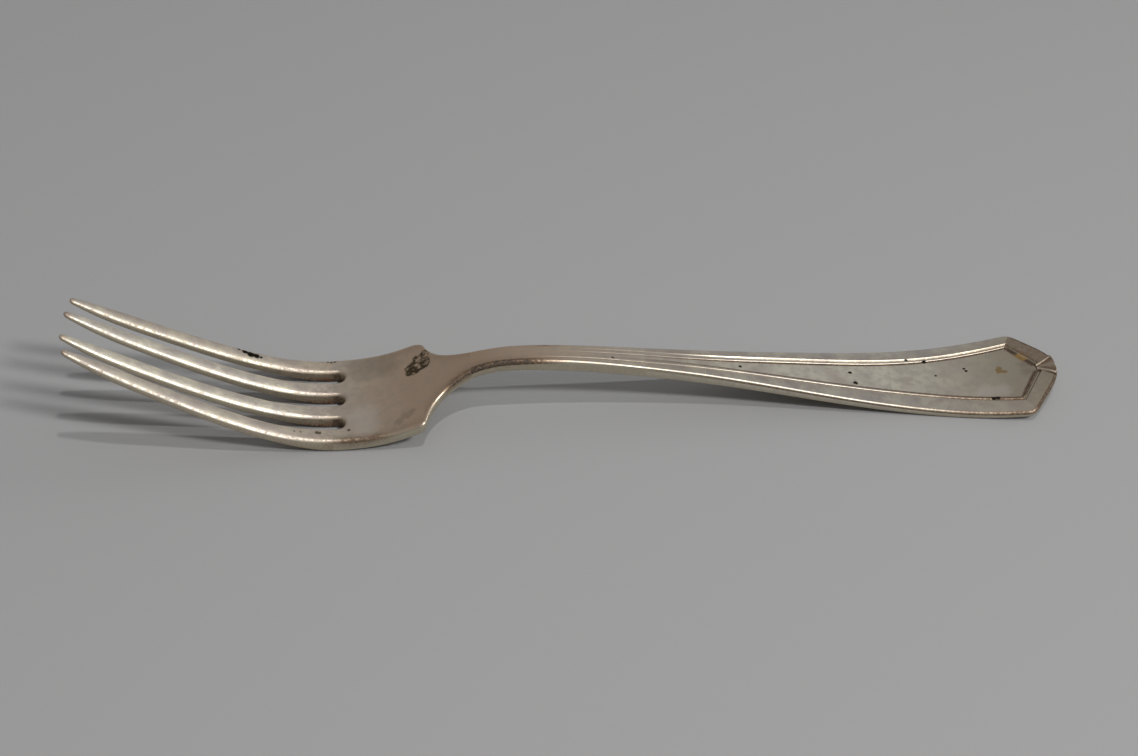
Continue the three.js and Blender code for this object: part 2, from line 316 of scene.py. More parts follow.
def both_sides(right: Sequence[tuple]) -> list[tuple]:
    """Mirrors the right side of a section, from top middle to bottom middle, into a ring."""
    left = [(-across, *rest) for across, *rest in reversed(right[1:-1])]
    return [*right, *left]


def piece(mesh: BMesh, node: str, slot: Slot, materials: Materials) -> None:
    """Makes a finished mesh a piece of the fork in the place of a solid.

    Args:
        mesh: The closed mesh, which is used up.
        node: Name of the solid that the piece stands for.
        slot: The piece's material slot.
        materials: Material of each slot.
    """
    mesh.normal_update()
    # how far each point faces up; the materials paint the side faces darker by it, as painted shade
    layer = mesh.verts.layers.float.new(LEVEL)
    for vert in mesh.verts:
        vert[layer] = eased(vert.normal.z)
    for face in mesh.faces:
        face.smooth = True
    for edge in mesh.edges:
        edge.smooth = edge.calc_face_angle(0.0) < CREASE
    name = f"{node}_finished"
    data = bpy.data.meshes.new(name)
    mesh.to_mesh(data)
    mesh.free()
    data.materials.append(materials[slot])
    made = bpy.data.objects.new(name, data)
    bpy.context.scene.collection.objects.link(made)
    even = made.modifiers.new("even_shading", "WEIGHTED_NORMAL")
    even.keep_sharp = True
    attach(made, "root")
    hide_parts(node)
    log.info("%s: %d faces", name, len(data.polygons))


@dataclass
class ForkForm:
    """Lines that the whole fork follows; places along it are past the tine roots."""

    root: float = field(default_factory=lambda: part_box("bowl")[0].x)
    neck: float = field(init=False)
    handle: float = field(init=False)
    corner: float = field(init=False)
    tip: float = field(init=False)
    handle_half: float = field(init=False)
    top: SmoothLine = field(init=False)
    thick: SmoothLine = field(init=False)
    side_half: SmoothLine = field(init=False)
    tip_half: float = 3.3 * MM
    corner_blend: float = 1.8 * MM
    crown_height: float = 0.6 * MM
    border_fade: Triple = (28 * MM, 63 * MM, 92 * MM)
    stem_depth_share: float = 0.28
    line_fade: Pair = (44 * MM, 98 * MM)
    tip_wear: float = 0.45 * MM
    tip_round: float = 2.6 * MM
    tip_cut: float = 1.5 * MM
    top_knots: Knots = (
        (0, 2.88), (9, 3.6), (18.4, 6.85), (28, 11.65), (41, 13.15),
        (63, 10.7), (93, 5.75), (127, 1.82), (141.8, 2.95), (149, 4.3),
    )
    top_slopes: Pair = (0.0, 0.2)
    thick_knots: Knots = (
        (0, 2.88), (18, 2.5), (30, 2.78), (41, 2.88),
        (63, 2.65), (93, 2.22), (127, 1.8), (149, 1.75),
    )
    thick_slopes: Pair = (-0.02, 0.0)
    half_knots: Knots = (
        (28, 3.15), (35, 2.72), (48, 2.78), (63, 3.3),
        (79, 4.45), (99, 6.85), (119, 9.4), (141.8, 12.45),
    )
    half_slopes: Pair = (-0.2, 0.1)

    def __post_init__(self) -> None:
        """Reads the stations from the frame and draws the lines."""
        self.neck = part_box("neck")[0].x - self.root
        self.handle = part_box("handle_plate")[0].x - self.root
        self.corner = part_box("side_band_right")[1].x - self.root
        self.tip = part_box("handle_plate")[1].x - self.root - self.tip_wear
        self.handle_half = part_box("handle_plate")[1].y
        self.top = SmoothLine(self.top_knots, *self.top_slopes)
        self.thick = SmoothLine(self.thick_knots, *self.thick_slopes)
        self.side_half = SmoothLine(self.half_knots, *self.half_slopes)

    def under(self, along: float) -> float:
        """Height of the underside over the table."""
        return max(self.top(along) - self.thick(along), 0.0)

    def half(self, along: float) -> float:
        """Gives the half width of the neck and handle: curved sides, then the slanted end.

        Args:
            along: Place along the fork.

        Returns:
            The half width.
        """
        slant = (self.tip - along) / (self.tip - self.corner)
        end = self.tip_half + (self.handle_half - self.tip_half) * slant
        past = held(1 - (self.tip - along) / self.tip_round)
        end -= self.tip_cut * (1 - math.sqrt(1 - past * past))
        return soft_lesser(self.side_half(along), end, self.corner_blend)

    def crown(self, along: float, across: float) -> float:
        """How far the handle's top rises over its edges at a place."""
        share = held((along - self.handle) / (self.corner - self.handle))
        return self.crown_height * share * (1 - (across / self.handle_half) ** 2)

    def surface(self, along: float, across: float) -> float:
        """Height of the fork's top over the table, with the handle's crown."""
        return self.top(along) + self.crown(along, across)

    def depth_share(self, along: float) -> float:
        """Gives how much of its full depth the border has, from none on the neck to all.

        Args:
            along: Place along the fork.

        Returns:
            The share, from 0 to 1.
        """
        start, stem, full = self.border_fade
        on_stem = self.stem_depth_share * risen(along, start, stem)
        return on_stem + (1 - self.stem_depth_share) * risen(along, stem, full)

    def line_share(self, along: float) -> float:
        """How much of their full tarnish the border's lines have."""
        return risen(along, *self.line_fade)

    def point(self, along: float, across: float, height: float) -> Vector:
        """Point of the frame for a place on the fork."""
        return Vector((self.root + along, across, height))


@dataclass(frozen=True)
class BorderRelief:
    """Cross-section of the border: wide band, slope, groove and thin bead."""

    depth: float = 0.32 * MM
    outer_round: float = 0.45 * MM
    skirt: float = 0.95 * MM
    ledge: float = 0.8 * MM
    slope: float = 0.36 * MM
    tilt: float = 0.1
    groove: float = 0.28 * MM
    bead: float = 0.65 * MM
    bead_rise: float = 0.23 * MM
    inner_groove: float = 0.55 * MM
    groove_lift: float = 0.03 * MM
    groove_steps: int = 4
    line_shade: float = 1.0
    slope_shade_power: int = 3
    bead_shade_power: int = 8
    groove_shade_power: int = 2
    # painted shade: a dark line at the foot of the outer edge's rounding, under its highlight
    painted_foot_shade: float = 0.8
    painted_foot_shade_power: int = 2
    dull_reach: float = 0.3 * MM
    seat: float = 0.03 * MM
    steps: int = 6

    def brow(self, width: float, scale: float = 1.0) -> float:
        """Distance from the outer edge to the end of the band's flat top."""
        return width - (self.bead / 2 + self.groove + self.slope) * scale

    def band(self, width: float, share: float, scale: float = 1.0) -> list[Shaded]:
        """Draws the band's slope from the end of its flat top to the groove.

        Args:
            width: Outer edge to the bead's middle.
            share: Share of the full depth.
            scale: Share of the full widths.

        Returns:
            Distance from the outer edge, height over the band and tarnish of each point.
        """
        brow = self.brow(width, scale)
        line = []
        for part in shares(self.steps):
            place = brow + self.slope * scale * part
            shade = self.line_shade * part**self.slope_shade_power
            line.append((place, -self.depth * share * eased(part), shade))
        return line

    def ridge(self, width: float, share: float, scale: float = 1.0) -> list[Shaded]:
        """Draws the bead's top from the groove to the panel.

        Args:
            width: Outer edge to the bead's middle.
            share: Share of the full depth.
            scale: Share of the full widths.

        Returns:
            Distance from the outer edge, height over the band and tarnish of each point.
        """
        line = []
        for part in shares(2 * self.steps)[:-1]:
            turn = math.pi * part
            place = width - self.bead * scale / 2 * math.cos(turn)
            height = (self.bead_rise * math.sin(turn) - self.depth) * share
            line.append((place, height, self.line_shade * abs(math.cos(turn)) ** self.bead_shade_power))
        for part in shares(self.groove_steps):
            place = width + (self.bead / 2 + self.inner_groove * part) * scale
            height = (self.groove_lift * (1 - part) - self.depth) * share
            line.append((place, height, self.line_shade * (1 - part**self.groove_shade_power)))
        return line

    def outer_arc(self, width: float, share: float, dull: float) -> list[Shaded]:
        """Draws the rounding of the outer edge, from the wall up, and a point inside it, with a painted
        shade line at the rounding's foot.

        Args:
            width: Outer edge to the bead's middle.
            share: Share of the full depth.
            dull: Least darkening on the rounding, part tarnish and part painted shade.

        Returns:
            Distance from the outer edge, height over the band, and tarnish and painted shade of each
            point.
        """
        radius = self.outer_round
        brow = self.brow(width)
        arc = []
        for part, (sine, cosine) in zip(shares(ROUND_STEPS), quarter_turn(ROUND_STEPS), strict=True):
            place = radius * (1 - cosine)
            drop = self.tilt * share * (brow - place)
            # painted shade, darkest at the rounding's foot and fading towards its top
            shade = self.painted_foot_shade * (1 - part) ** self.painted_foot_shade_power
            arc.append((place, radius * (sine - 1) - drop, max(shade, dull)))
        inside = radius + self.dull_reach
        arc.append((inside, -self.tilt * share * (brow - inside), 0.0))
        return arc


@dataclass(frozen=True)
class Tine:
    """One tine, in millimetres: place of its root, reach, rise and lean of its tip, fall before it."""

    node: str
    root: float
    reach: float
    rise: float
    lean: float
    fall: float
    tone: float = 0.0  # least darkening anywhere on it


@dataclass
class Tines:
    """The four tines, which leave the bowl level and curve up to rounded tips.

    The knots' places are thousandths of a tine's length.
    """

    form: ForkForm
    width_knots: Knots = ((0, 4.0), (360, 3.9), (720, 3.5), (900, 2.7), (1000, 1.3))
    width_slopes: Pair = (0.0, -15.0 * MM)
    thick_knots: Knots = ((0, 2.88), (360, 2.5), (720, 2.15), (900, 1.75), (1000, 0.85))
    thick_slopes: Pair = (-1.2 * MM, -12.0 * MM)
    lead: float = 13 * MM
    run: float = 19.3 * MM
    edge_round: float = 0.8 * MM
    most_round: float = 0.45
    oval_power: float = 2.3
    oval_from: float = 0.28
    # depth shares between which the walls darken towards the bottom
    wall_depth: Pair = (0.1786, 0.8929)
    wall_shade: float = 0.28
    side_part: Pair = (2 / 3, 1.0)
    tip_shade: float = 0.35
    tip_shade_from: float = 0.965
    root_shade: float = 0.75
    root_shade_reach: float = 0.3
    root_top_shade: float = 0.3
    root_top_reach: float = 0.12
    joint_shade: float = 0.15
    joint_reach: float = 0.1
    outermost: float = 6 * MM
    end_share: float = 0.001
    tip_share: float = 0.012
    tip_steps: int = 6
    steps: int = 64
    top_steps: int = 4
    tines: tuple[Tine, ...] = (
        Tine("outer_tine_right", 10.65, 50.3, 21.2, -1.55, 9.9, 0.13),
        Tine("inner_tine_right", 3.55, 50.8, 22.25, -0.05, 10.7),
        Tine("inner_tine_left", -3.55, 51.0, 22.2, 0.1, 11.3),
        Tine("outer_tine_left", -10.65, 50.0, 23.0, 1.45, 11.2, 0.1),
    )

    def stations(self) -> Iterator[Pair]:
        """Lists the rings.

        Returns:
            Each ring's share of the tine and its scale, which closes at the tip.
        """
        body = 1 - self.tip_share
        yield 0.0, 1.0
        for share in shares(self.steps):
            yield self.end_share + (body - self.end_share) * share, 1.0
        for sine, cosine in quarter_turn(self.tip_steps)[1:]:
            yield body + self.tip_share * sine, cosine

    def top_line(self, tine: Tine) -> list[Vector]:
        """Draws the control points of a tine's top.

        Args:
            tine: The tine's own form.

        Returns:
            The points, from the root to the tip.
        """
        root, reach, rise, lean, fall = (
            length * MM for length in (tine.root, tine.reach, tine.rise, tine.lean, tine.fall)
        )
        height = self.form.top(0)
        bend = reach - self.run
        return [
            self.form.point(0, root, height),
            self.form.point(-self.lead, root, height),
            self.form.point(-bend, root + lean * bend / reach, height + rise - fall),
            self.form.point(-reach, root + lean, height + rise),
        ]

    def section(self, share: float, half: float, thick: float) -> list[Pair]:
        """Draws a tine's section, boxy at its root and oval further out.

        Args:
            share: Share of the tine's length.
            half: Half its width there.
            thick: Its thickness there.

        Returns:
            Pairs of across and down.
        """
        radius = min(self.edge_round, self.most_round * min(2 * half, thick))
        upper = upper_half(half, radius, self.top_steps)
        lower = lower_half(half, thick, radius, self.top_steps)
        oval = eased(share / self.oval_from)
        ring = []
        for across, down in both_sides([*upper, *lower]):
            out = Vector((across / half, 2 * down / thick + 1))
            reach = sum(abs(part) ** self.oval_power for part in out) ** (1 / self.oval_power)
            out *= 1 + (1 / reach - 1) * oval
            ring.append((out.x * half, (out.y - 1) * thick / 2))
        return ring

    def shade(self, tine: Tine, share: float, out: float, depth: float) -> float:
        """Tells how dark a point of a tine is: tarnish at the root and the tip, walls darker towards
        the bottom, and a least darkening for the whole tine.

        Args:
            tine: The tine's own form.
            share: Share of the tine's length.
            out: Share of the half width, negative on the left.
            depth: Share of the thickness below the top.

        Returns:
            The darkening, from 0 to 1.
        """
        wall = self.joint_shade
        wall += (self.wall_shade - wall) * eased(share / self.joint_reach)
        sideways = risen(abs(out), *self.side_part)
        if tine.root * MM * out < self.outermost:
            near_root = 1 - eased(share / self.root_shade_reach)
            wall += (self.root_shade - wall) * near_root * sideways
        low = wall * risen(depth, *self.wall_depth)
        brow = self.root_top_shade * sideways * (1 - eased(share / self.root_top_reach))
        at_tip = self.tip_shade * risen(share, self.tip_shade_from, 1.0)
        return max(low, brow, at_tip, tine.tone)

    def build(self, tine: Tine) -> BMesh:
        """Builds one tine.

        Args:
            tine: The tine's own form.

        Returns:
            Its closed mesh.
        """
        width = SmoothLine(self.width_knots, *self.width_slopes)
        thickness = SmoothLine(self.thick_knots, *self.thick_slopes)
        line = self.top_line(tine)
        rings = []
        for share, scale in self.stations():
            place, heading = bezier(line, share)
            up = Vector((heading.z, 0, -heading.x)).normalized()
            half = width(share) / 2
            thick = thickness(share)
            ring = []
            for across, down in self.section(share, half, thick):
                point = place + up * ((down + thick / 2) * scale - thick / 2)
                point.y += across * scale
                ring.append((point, self.shade(tine, share, across / half, -down / thick)))
            rings.append(ring)
        return skin(rings)

    def dress(self, materials: Materials) -> None:
        """Makes each tine a piece."""
        for tine in self.tines:
            piece(self.build(tine), tine.node, Slot.TINE, materials)


@dataclass
class Bowl:
    """The bowl: a flat blank with rounded edges and slots, bent to the fork's line."""

    form: ForkForm
    root_half: float = 12.65 * MM
    shoulder_half: float = 13.05 * MM
    shoulder: float = 18.4 * MM
    flare_bend: Pair = (19.9 * MM, 5.4 * MM)
    slot: float = 3.1 * MM
    slot_depth: float = 2.35 * MM
    pitch: float = 7.1 * MM
    slots: int = 3
    spare: float = 1.5 * MM
    blank: float = 3 * MM
    near_corner_round: float = 1.3 * MM
    far_corner_round: float = 2.6 * MM
    corner_steps: int = 8
    edge_round: float = 0.8 * MM
    flare_steps: int = 20
    arc_steps: int = 14
    slices: int = 56
    length_slices: int = 26
    end_slice: float = 0.05 * MM
    slot_shade_reach: float = 1.1 * MM
    slot_shade_inset: float = 0.2 * MM
    slot_shade: float = 0.4
    slot_wall_shade: float = 0.95
    # depth shares between which the walls darken towards the bottom
    wall_depth: Pair = (0.1, 0.6)
    wall_shade: float = 0.15
    rim_shade: float = 0.22
    rim_shade_peak: float = 1.1 * MM
    rim_shade_reach: float = 3.2 * MM
    rim_shade_from: Pair = (3 * MM, 9 * MM)
    edge_reach: float = 1.7 * MM
    edge_foot: Pair = (0.55 * MM, 1.1 * MM)
    # partly tarnish, partly painted shade on the left rim at the heel and the flare, dimming its
    # highlight there
    heel_shade: float = 0.75
    heel_start: Pair = (-4 * MM, 4 * MM)
    heel_end: Pair = (7 * MM, 15 * MM)
    flare_shade: float = 1.0
    flare_start: Pair = (21.0 * MM, 24.5 * MM)
    flare_inner_shade: float = 0.2
    flare_inner_reach: float = 4.0 * MM

    def slot_middles(self) -> list[float]:
        """Sideways places of the slots' middles."""
        return [(index - (self.slots - 1) / 2) * self.pitch for index in range(self.slots)]

    def flank(self, corner_round: float) -> list[Pair]:
        """Draws an edge from the tine roots round the shoulder to the neck.

        Args:
            corner_round: How far from the shoulder point its rounding starts.

        Returns:
            Pairs of along and across, across being positive.
        """
        form = self.form
        start = Vector((self.shoulder, self.shoulder_half))
        end = Vector((form.neck, form.half(form.neck)))
        bend = Vector(self.flare_bend)
        curve = [start, bend, end]
        cut = corner_round / (2 * (bend - start).length)
        corner = [start - ALONG.xy * corner_round, start, bezier(curve, cut)[0]]
        rounding = [bezier(corner, share)[0] for share in shares(self.corner_steps)]
        flare = [
            bezier(curve, cut + (1 - cut) * share)[0] for share in shares(self.flare_steps)[1:]
        ]
        beyond = form.neck + self.spare
        return [
            (-self.spare, self.root_half),
            *(tuple(point) for point in rounding + flare),
            (beyond, form.half(beyond)),
        ]

    def outline(self) -> list[Pair]:
        """Draws the blank's outline: both flanks and the slots between the tine roots.

        Returns:
            Pairs of along and across.
        """
        right = self.flank(self.far_corner_round)
        left = self.flank(self.near_corner_round)
        line = [*right, *((along, -across) for along, across in reversed(left))]
        radius = self.slot / 2
        middle = self.slot_depth - radius
        for across in self.slot_middles():
            line.append((-self.spare, across - radius))
            for share in shares(self.arc_steps):
                turn = math.pi * (share - 0.5)
                line.append((middle + radius * math.cos(turn), across + radius * math.sin(turn)))
            line.append((-self.spare, across + radius))
        return line

    def is_end(self, edge: BMEdge) -> bool:
        """Tells whether an edge lies on one of the blank's cut ends.

        Args:
            edge: An edge of the blank.

        Returns:
            Whether it does.
        """
        first, second = (vert.co.x for vert in edge.verts)
        ends = (-self.spare, self.form.neck + self.spare)
        return any(abs(first - end) < WELD and abs(second - end) < WELD for end in ends)

    def rim(self, mesh: BMesh, height: float) -> list[BMEdge]:
        """Lists the blank's rim edges at a height, without its cut ends.

        Args:
            mesh: The blank.
            height: The height.

        Returns:
            The edges.
        """
        return [
            edge
            for edge in mesh.edges
            if all(abs(vert.co.z - height) < WELD for vert in edge.verts) and not self.is_end(edge)
        ]

    def bent(self, vert: BMVert) -> Vector:
        """Gives a flat blank's point its place on the fork.

        Args:
            vert: The blank's point.

        Returns:
            Its place.
        """
        along, across, height = vert.co
        if height > -self.blank / 2:
            return self.form.point(along, across, self.form.top(along) + height)
        return self.form.point(along, across, self.form.under(along) + height + self.blank)

    def rim_gap(self, place: Vector) -> float:
        """Measures how far a place of the flat blank lies inside its flanks.

        Args:
            place: Place on the flat blank.

        Returns:
            The distance.
        """
        if place.x < self.shoulder:
            return max(self.root_half - abs(place.y), 0.0)
        return min(
            math.hypot(place.x - along, abs(place.y) - across)
            for along, across in self.flank(self.near_corner_round)[1:]
        )

    def slot_gap(self, place: Vector) -> float:
        """Measures how far a place of the flat blank lies from the nearest slot's middle line.

        Args:
            place: Place on the flat blank.

        Returns:
            The distance.
        """
        past = max(place.x - self.slot_depth + self.slot / 2, 0)
        return min(math.hypot(past, place.y - across) for across in self.slot_middles())

    def shade(self, place: Vector) -> float:
        """Tells how dark a place of the flat blank is: tarnish at the slots and inside the rim, darker
        towards the bottom of the walls, and painted shade on the left rim.

        Args:
            place: Place on the flat blank.

        Returns:
            The darkening, from 0 to 1.
        """
        from_slot = self.slot_gap(place) - self.slot / 2 + self.slot_shade_inset
        low = risen(-place.z / self.blank, *self.wall_depth)
        slot = self.slot_shade + (self.slot_wall_shade - self.slot_shade) * low
        slot *= 1 - eased(from_slot / self.slot_shade_reach)
        gap = self.rim_gap(place)
        rim = self.rim_shade * eased(gap / self.rim_shade_peak)
        rim *= 1 - eased(gap / self.rim_shade_reach)
        rim *= risen(place.x, *self.rim_shade_from)
        return max(slot, self.wall_shade * low, rim, self.edge_shade(place, gap))

    def edge_shade(self, place: Vector, gap: float) -> float:
        """Tells how dark the left rim is painted at the heel and on the flare: partly tarnish, partly
        painted shade that dims its highlight there.

        Args:
            place: Place on the flat blank.
            gap: How far it lies inside the flank.

        Returns:
            The darkening, from 0 to 1.
        """
        # only the left rim is painted darker
        if place.y > 0:
            return 0.0
        heel = risen(place.x, *self.heel_start) * (1 - risen(place.x, *self.heel_end))
        flare = self.flare_shade * risen(place.x, *self.flare_start)
        edge = max(self.heel_shade * heel, flare) * (1 - eased(gap / self.edge_reach))
        inner = self.flare_inner_shade * flare * (1 - eased(gap / self.flare_inner_reach))
        return max(edge, inner) * (1 - risen(-place.z, *self.edge_foot))

    def build(self) -> BMesh:
        """Cuts, rounds, slices and bends the blank.

        Returns:
            Its closed mesh.
        """
        mesh = bmesh.new()
        face = mesh.faces.new([mesh.verts.new((*place, 0)) for place in self.outline()])
        lower = bmesh.ops.extrude_face_region(mesh, geom=[face])["geom"]
        moved = [item for item in lower if isinstance(item, BMVert)]
        bmesh.ops.translate(mesh, verts=moved, vec=(0, 0, -self.blank))
        bmesh.ops.recalc_face_normals(mesh, faces=mesh.faces)
        for height in (0, -self.blank):
            round_edges(mesh, self.rim(mesh, height), self.edge_round)
        neck = self.form.neck
        slice_at(mesh, ALONG, 0, clear_inner=True)
        slice_at(mesh, ALONG, neck, clear_outer=True)
        close_ends(mesh)
        cuts = [neck * share for share in shares(self.slices)[1:-1]]
        for along in (self.end_slice, *cuts, neck - self.end_slice):
            slice_at(mesh, ALONG, along)
        for share in shares(self.length_slices)[1:-1]:
            slice_at(mesh, ACROSS, self.root_half * (2 * share - 1))
        layer = mesh.verts.layers.float.new(TARNISH_AND_SHADE)
        for vert in mesh.verts:
            vert[layer] = self.shade(vert.co)
            vert.co = self.bent(vert)
        return mesh

    def dress(self, materials: Materials) -> None:
        """Makes the bowl a piece."""
        piece(self.build(), "bowl", Slot.BODY, materials)


@dataclass
class Neck:
    """The neck, over whose crest the lines of the border fade in."""

    form: ForkForm
    relief: BorderRelief
    upper: SmoothLine = field(init=False)
    lower: SmoothLine = field(init=False)
    stem_half: float = 3.3 * MM
    stem_width: float = 2.2 * MM
    upper_knots: Knots = ((28, 0.8), (45, 0.6), (63, 0.45))
    lower_knots: Knots = ((28, 1.1), (63, 0.6))
    # partly tarnish, partly painted shade on the left edge, dimming its highlight, fading out along the
    # neck
    edge_shade: float = 1.0
    edge_shade_fade: Pair = (9 * MM, 21 * MM)
    foot: float = 0.28 * MM
    # painted shade: a dark line at the foot of the edge's rounding, under its highlight
    painted_foot_shade: float = 0.75
    painted_foot_shade_power: int = 4
    # even darkening of the wall below the edge's rounding
    wall_shade: float = 0.15
    # painted shade on the left half of the top, darker towards the left edge
    inner_shade: float = 0.2
    inner_part: float = 2 / 3
    steps: int = 90
    end_slice: float = 0.05 * MM
    bottom_steps: int = 5
    panel_steps: int = 3

    def __post_init__(self) -> None:
        """Draws the lines of the edges' rounding."""
        self.upper = SmoothLine(self.upper_knots, 0.0, 0.0)
        self.lower = SmoothLine(self.lower_knots, 0.0, 0.0)

    def painted_edge_shade(self, along: float) -> float:
        """How dark the left edge is painted: partly tarnish, partly painted shade that dims its
        highlight.
        """
        return self.edge_shade * (1 - risen(along - self.form.neck, *self.edge_shade_fade))

    def top(self, along: float) -> list[Shaded]:
        """Draws the right half of the section's top, from its middle to the wall.

        Args:
            along: Place along the fork.

        Returns:
            Across, down, and tarnish and painted shade of each point.
        """
        form, relief = self.form, self.relief
        half = form.half(along)
        scale = min(half / self.stem_half, 1.0)
        width = self.stem_width * scale
        share = form.depth_share(along)
        lined = form.line_share(along)
        radius = self.upper(along)
        panel = half - width - (relief.bead / 2 + relief.inner_groove) * scale
        line = [
            (panel * part, -relief.depth * share, 0.0) for part in shares(self.panel_steps)[:-1]
        ]
        slopes = [*relief.band(width, share, scale), *relief.ridge(width, share, scale)]
        line.extend((half - place, height, shade * lined) for place, height, shade in reversed(slopes))
        inner = half - relief.brow(width, scale)
        edge = self.painted_edge_shade(along)
        for across, down in upper_half(half, radius, 1)[1:]:
            drop = relief.tilt * share * (across - inner)
            # painted shade: a dark line at the foot of the rounding, under the edge's highlight
            foot = self.painted_foot_shade * lined * (down / radius) ** self.painted_foot_shade_power
            line.append((across, down - drop, max(edge, foot)))
        return line

    def section(self, along: float) -> list[Shaded]:
        """Draws the neck's section, with the border's relief on its top.

        Args:
            along: Place along the fork.

        Returns:
            Across, down, and tarnish and painted shade of each point of the ring.
        """
        half = self.form.half(along)
        edge = self.painted_edge_shade(along)
        line = self.top(along)
        line.append((half, line[-1][1] - self.foot, self.wall_shade))
        thick = self.form.thick(along)
        for across, down in lower_half(half, thick, self.lower(along), self.bottom_steps):
            line.append((across, down, self.wall_shade))
        ring = []
        for across, down, shade in both_sides(line):
            # painted shade on the left half of the top; on the right half the darkening is held down
            # where the left edge is dark
            inner = self.inner_shade * edge * risen(-across, 0.0, self.inner_part * half)
            kept = max(shade, inner) if across < 0 else min(shade, 1 - edge)
            ring.append((across, down, kept))
        return ring

    def build(self) -> BMesh:
        """Builds the neck.

        Returns:
            Its closed mesh.
        """
        form = self.form
        length = form.handle - form.neck
        places = [form.neck + length * share for share in shares(self.steps)]
        places.insert(1, form.neck + self.end_slice)
        places.insert(-1, form.handle - self.end_slice)
        rings = []
        for along in places:
            top = form.top(along)
            rings.append(
                [(form.point(along, y, top + z), shade) for y, z, shade in self.section(along)]
            )
        return skin(rings)

    def dress(self, materials: Materials) -> None:
        """Makes the neck a piece."""
        piece(self.build(), "neck", Slot.BODY, materials)


@dataclass(frozen=True)
class Side:
    """One side of the handle's border, with the darkening on its edge, part tarnish and part painted
    shade that dims the highlight, and the tarnish on its end.
    """

    hand: str
    sign: int
    # part tarnish, part painted shade: least darkening of the outer edge and bead at the end
    dull: float
    end_tone: float


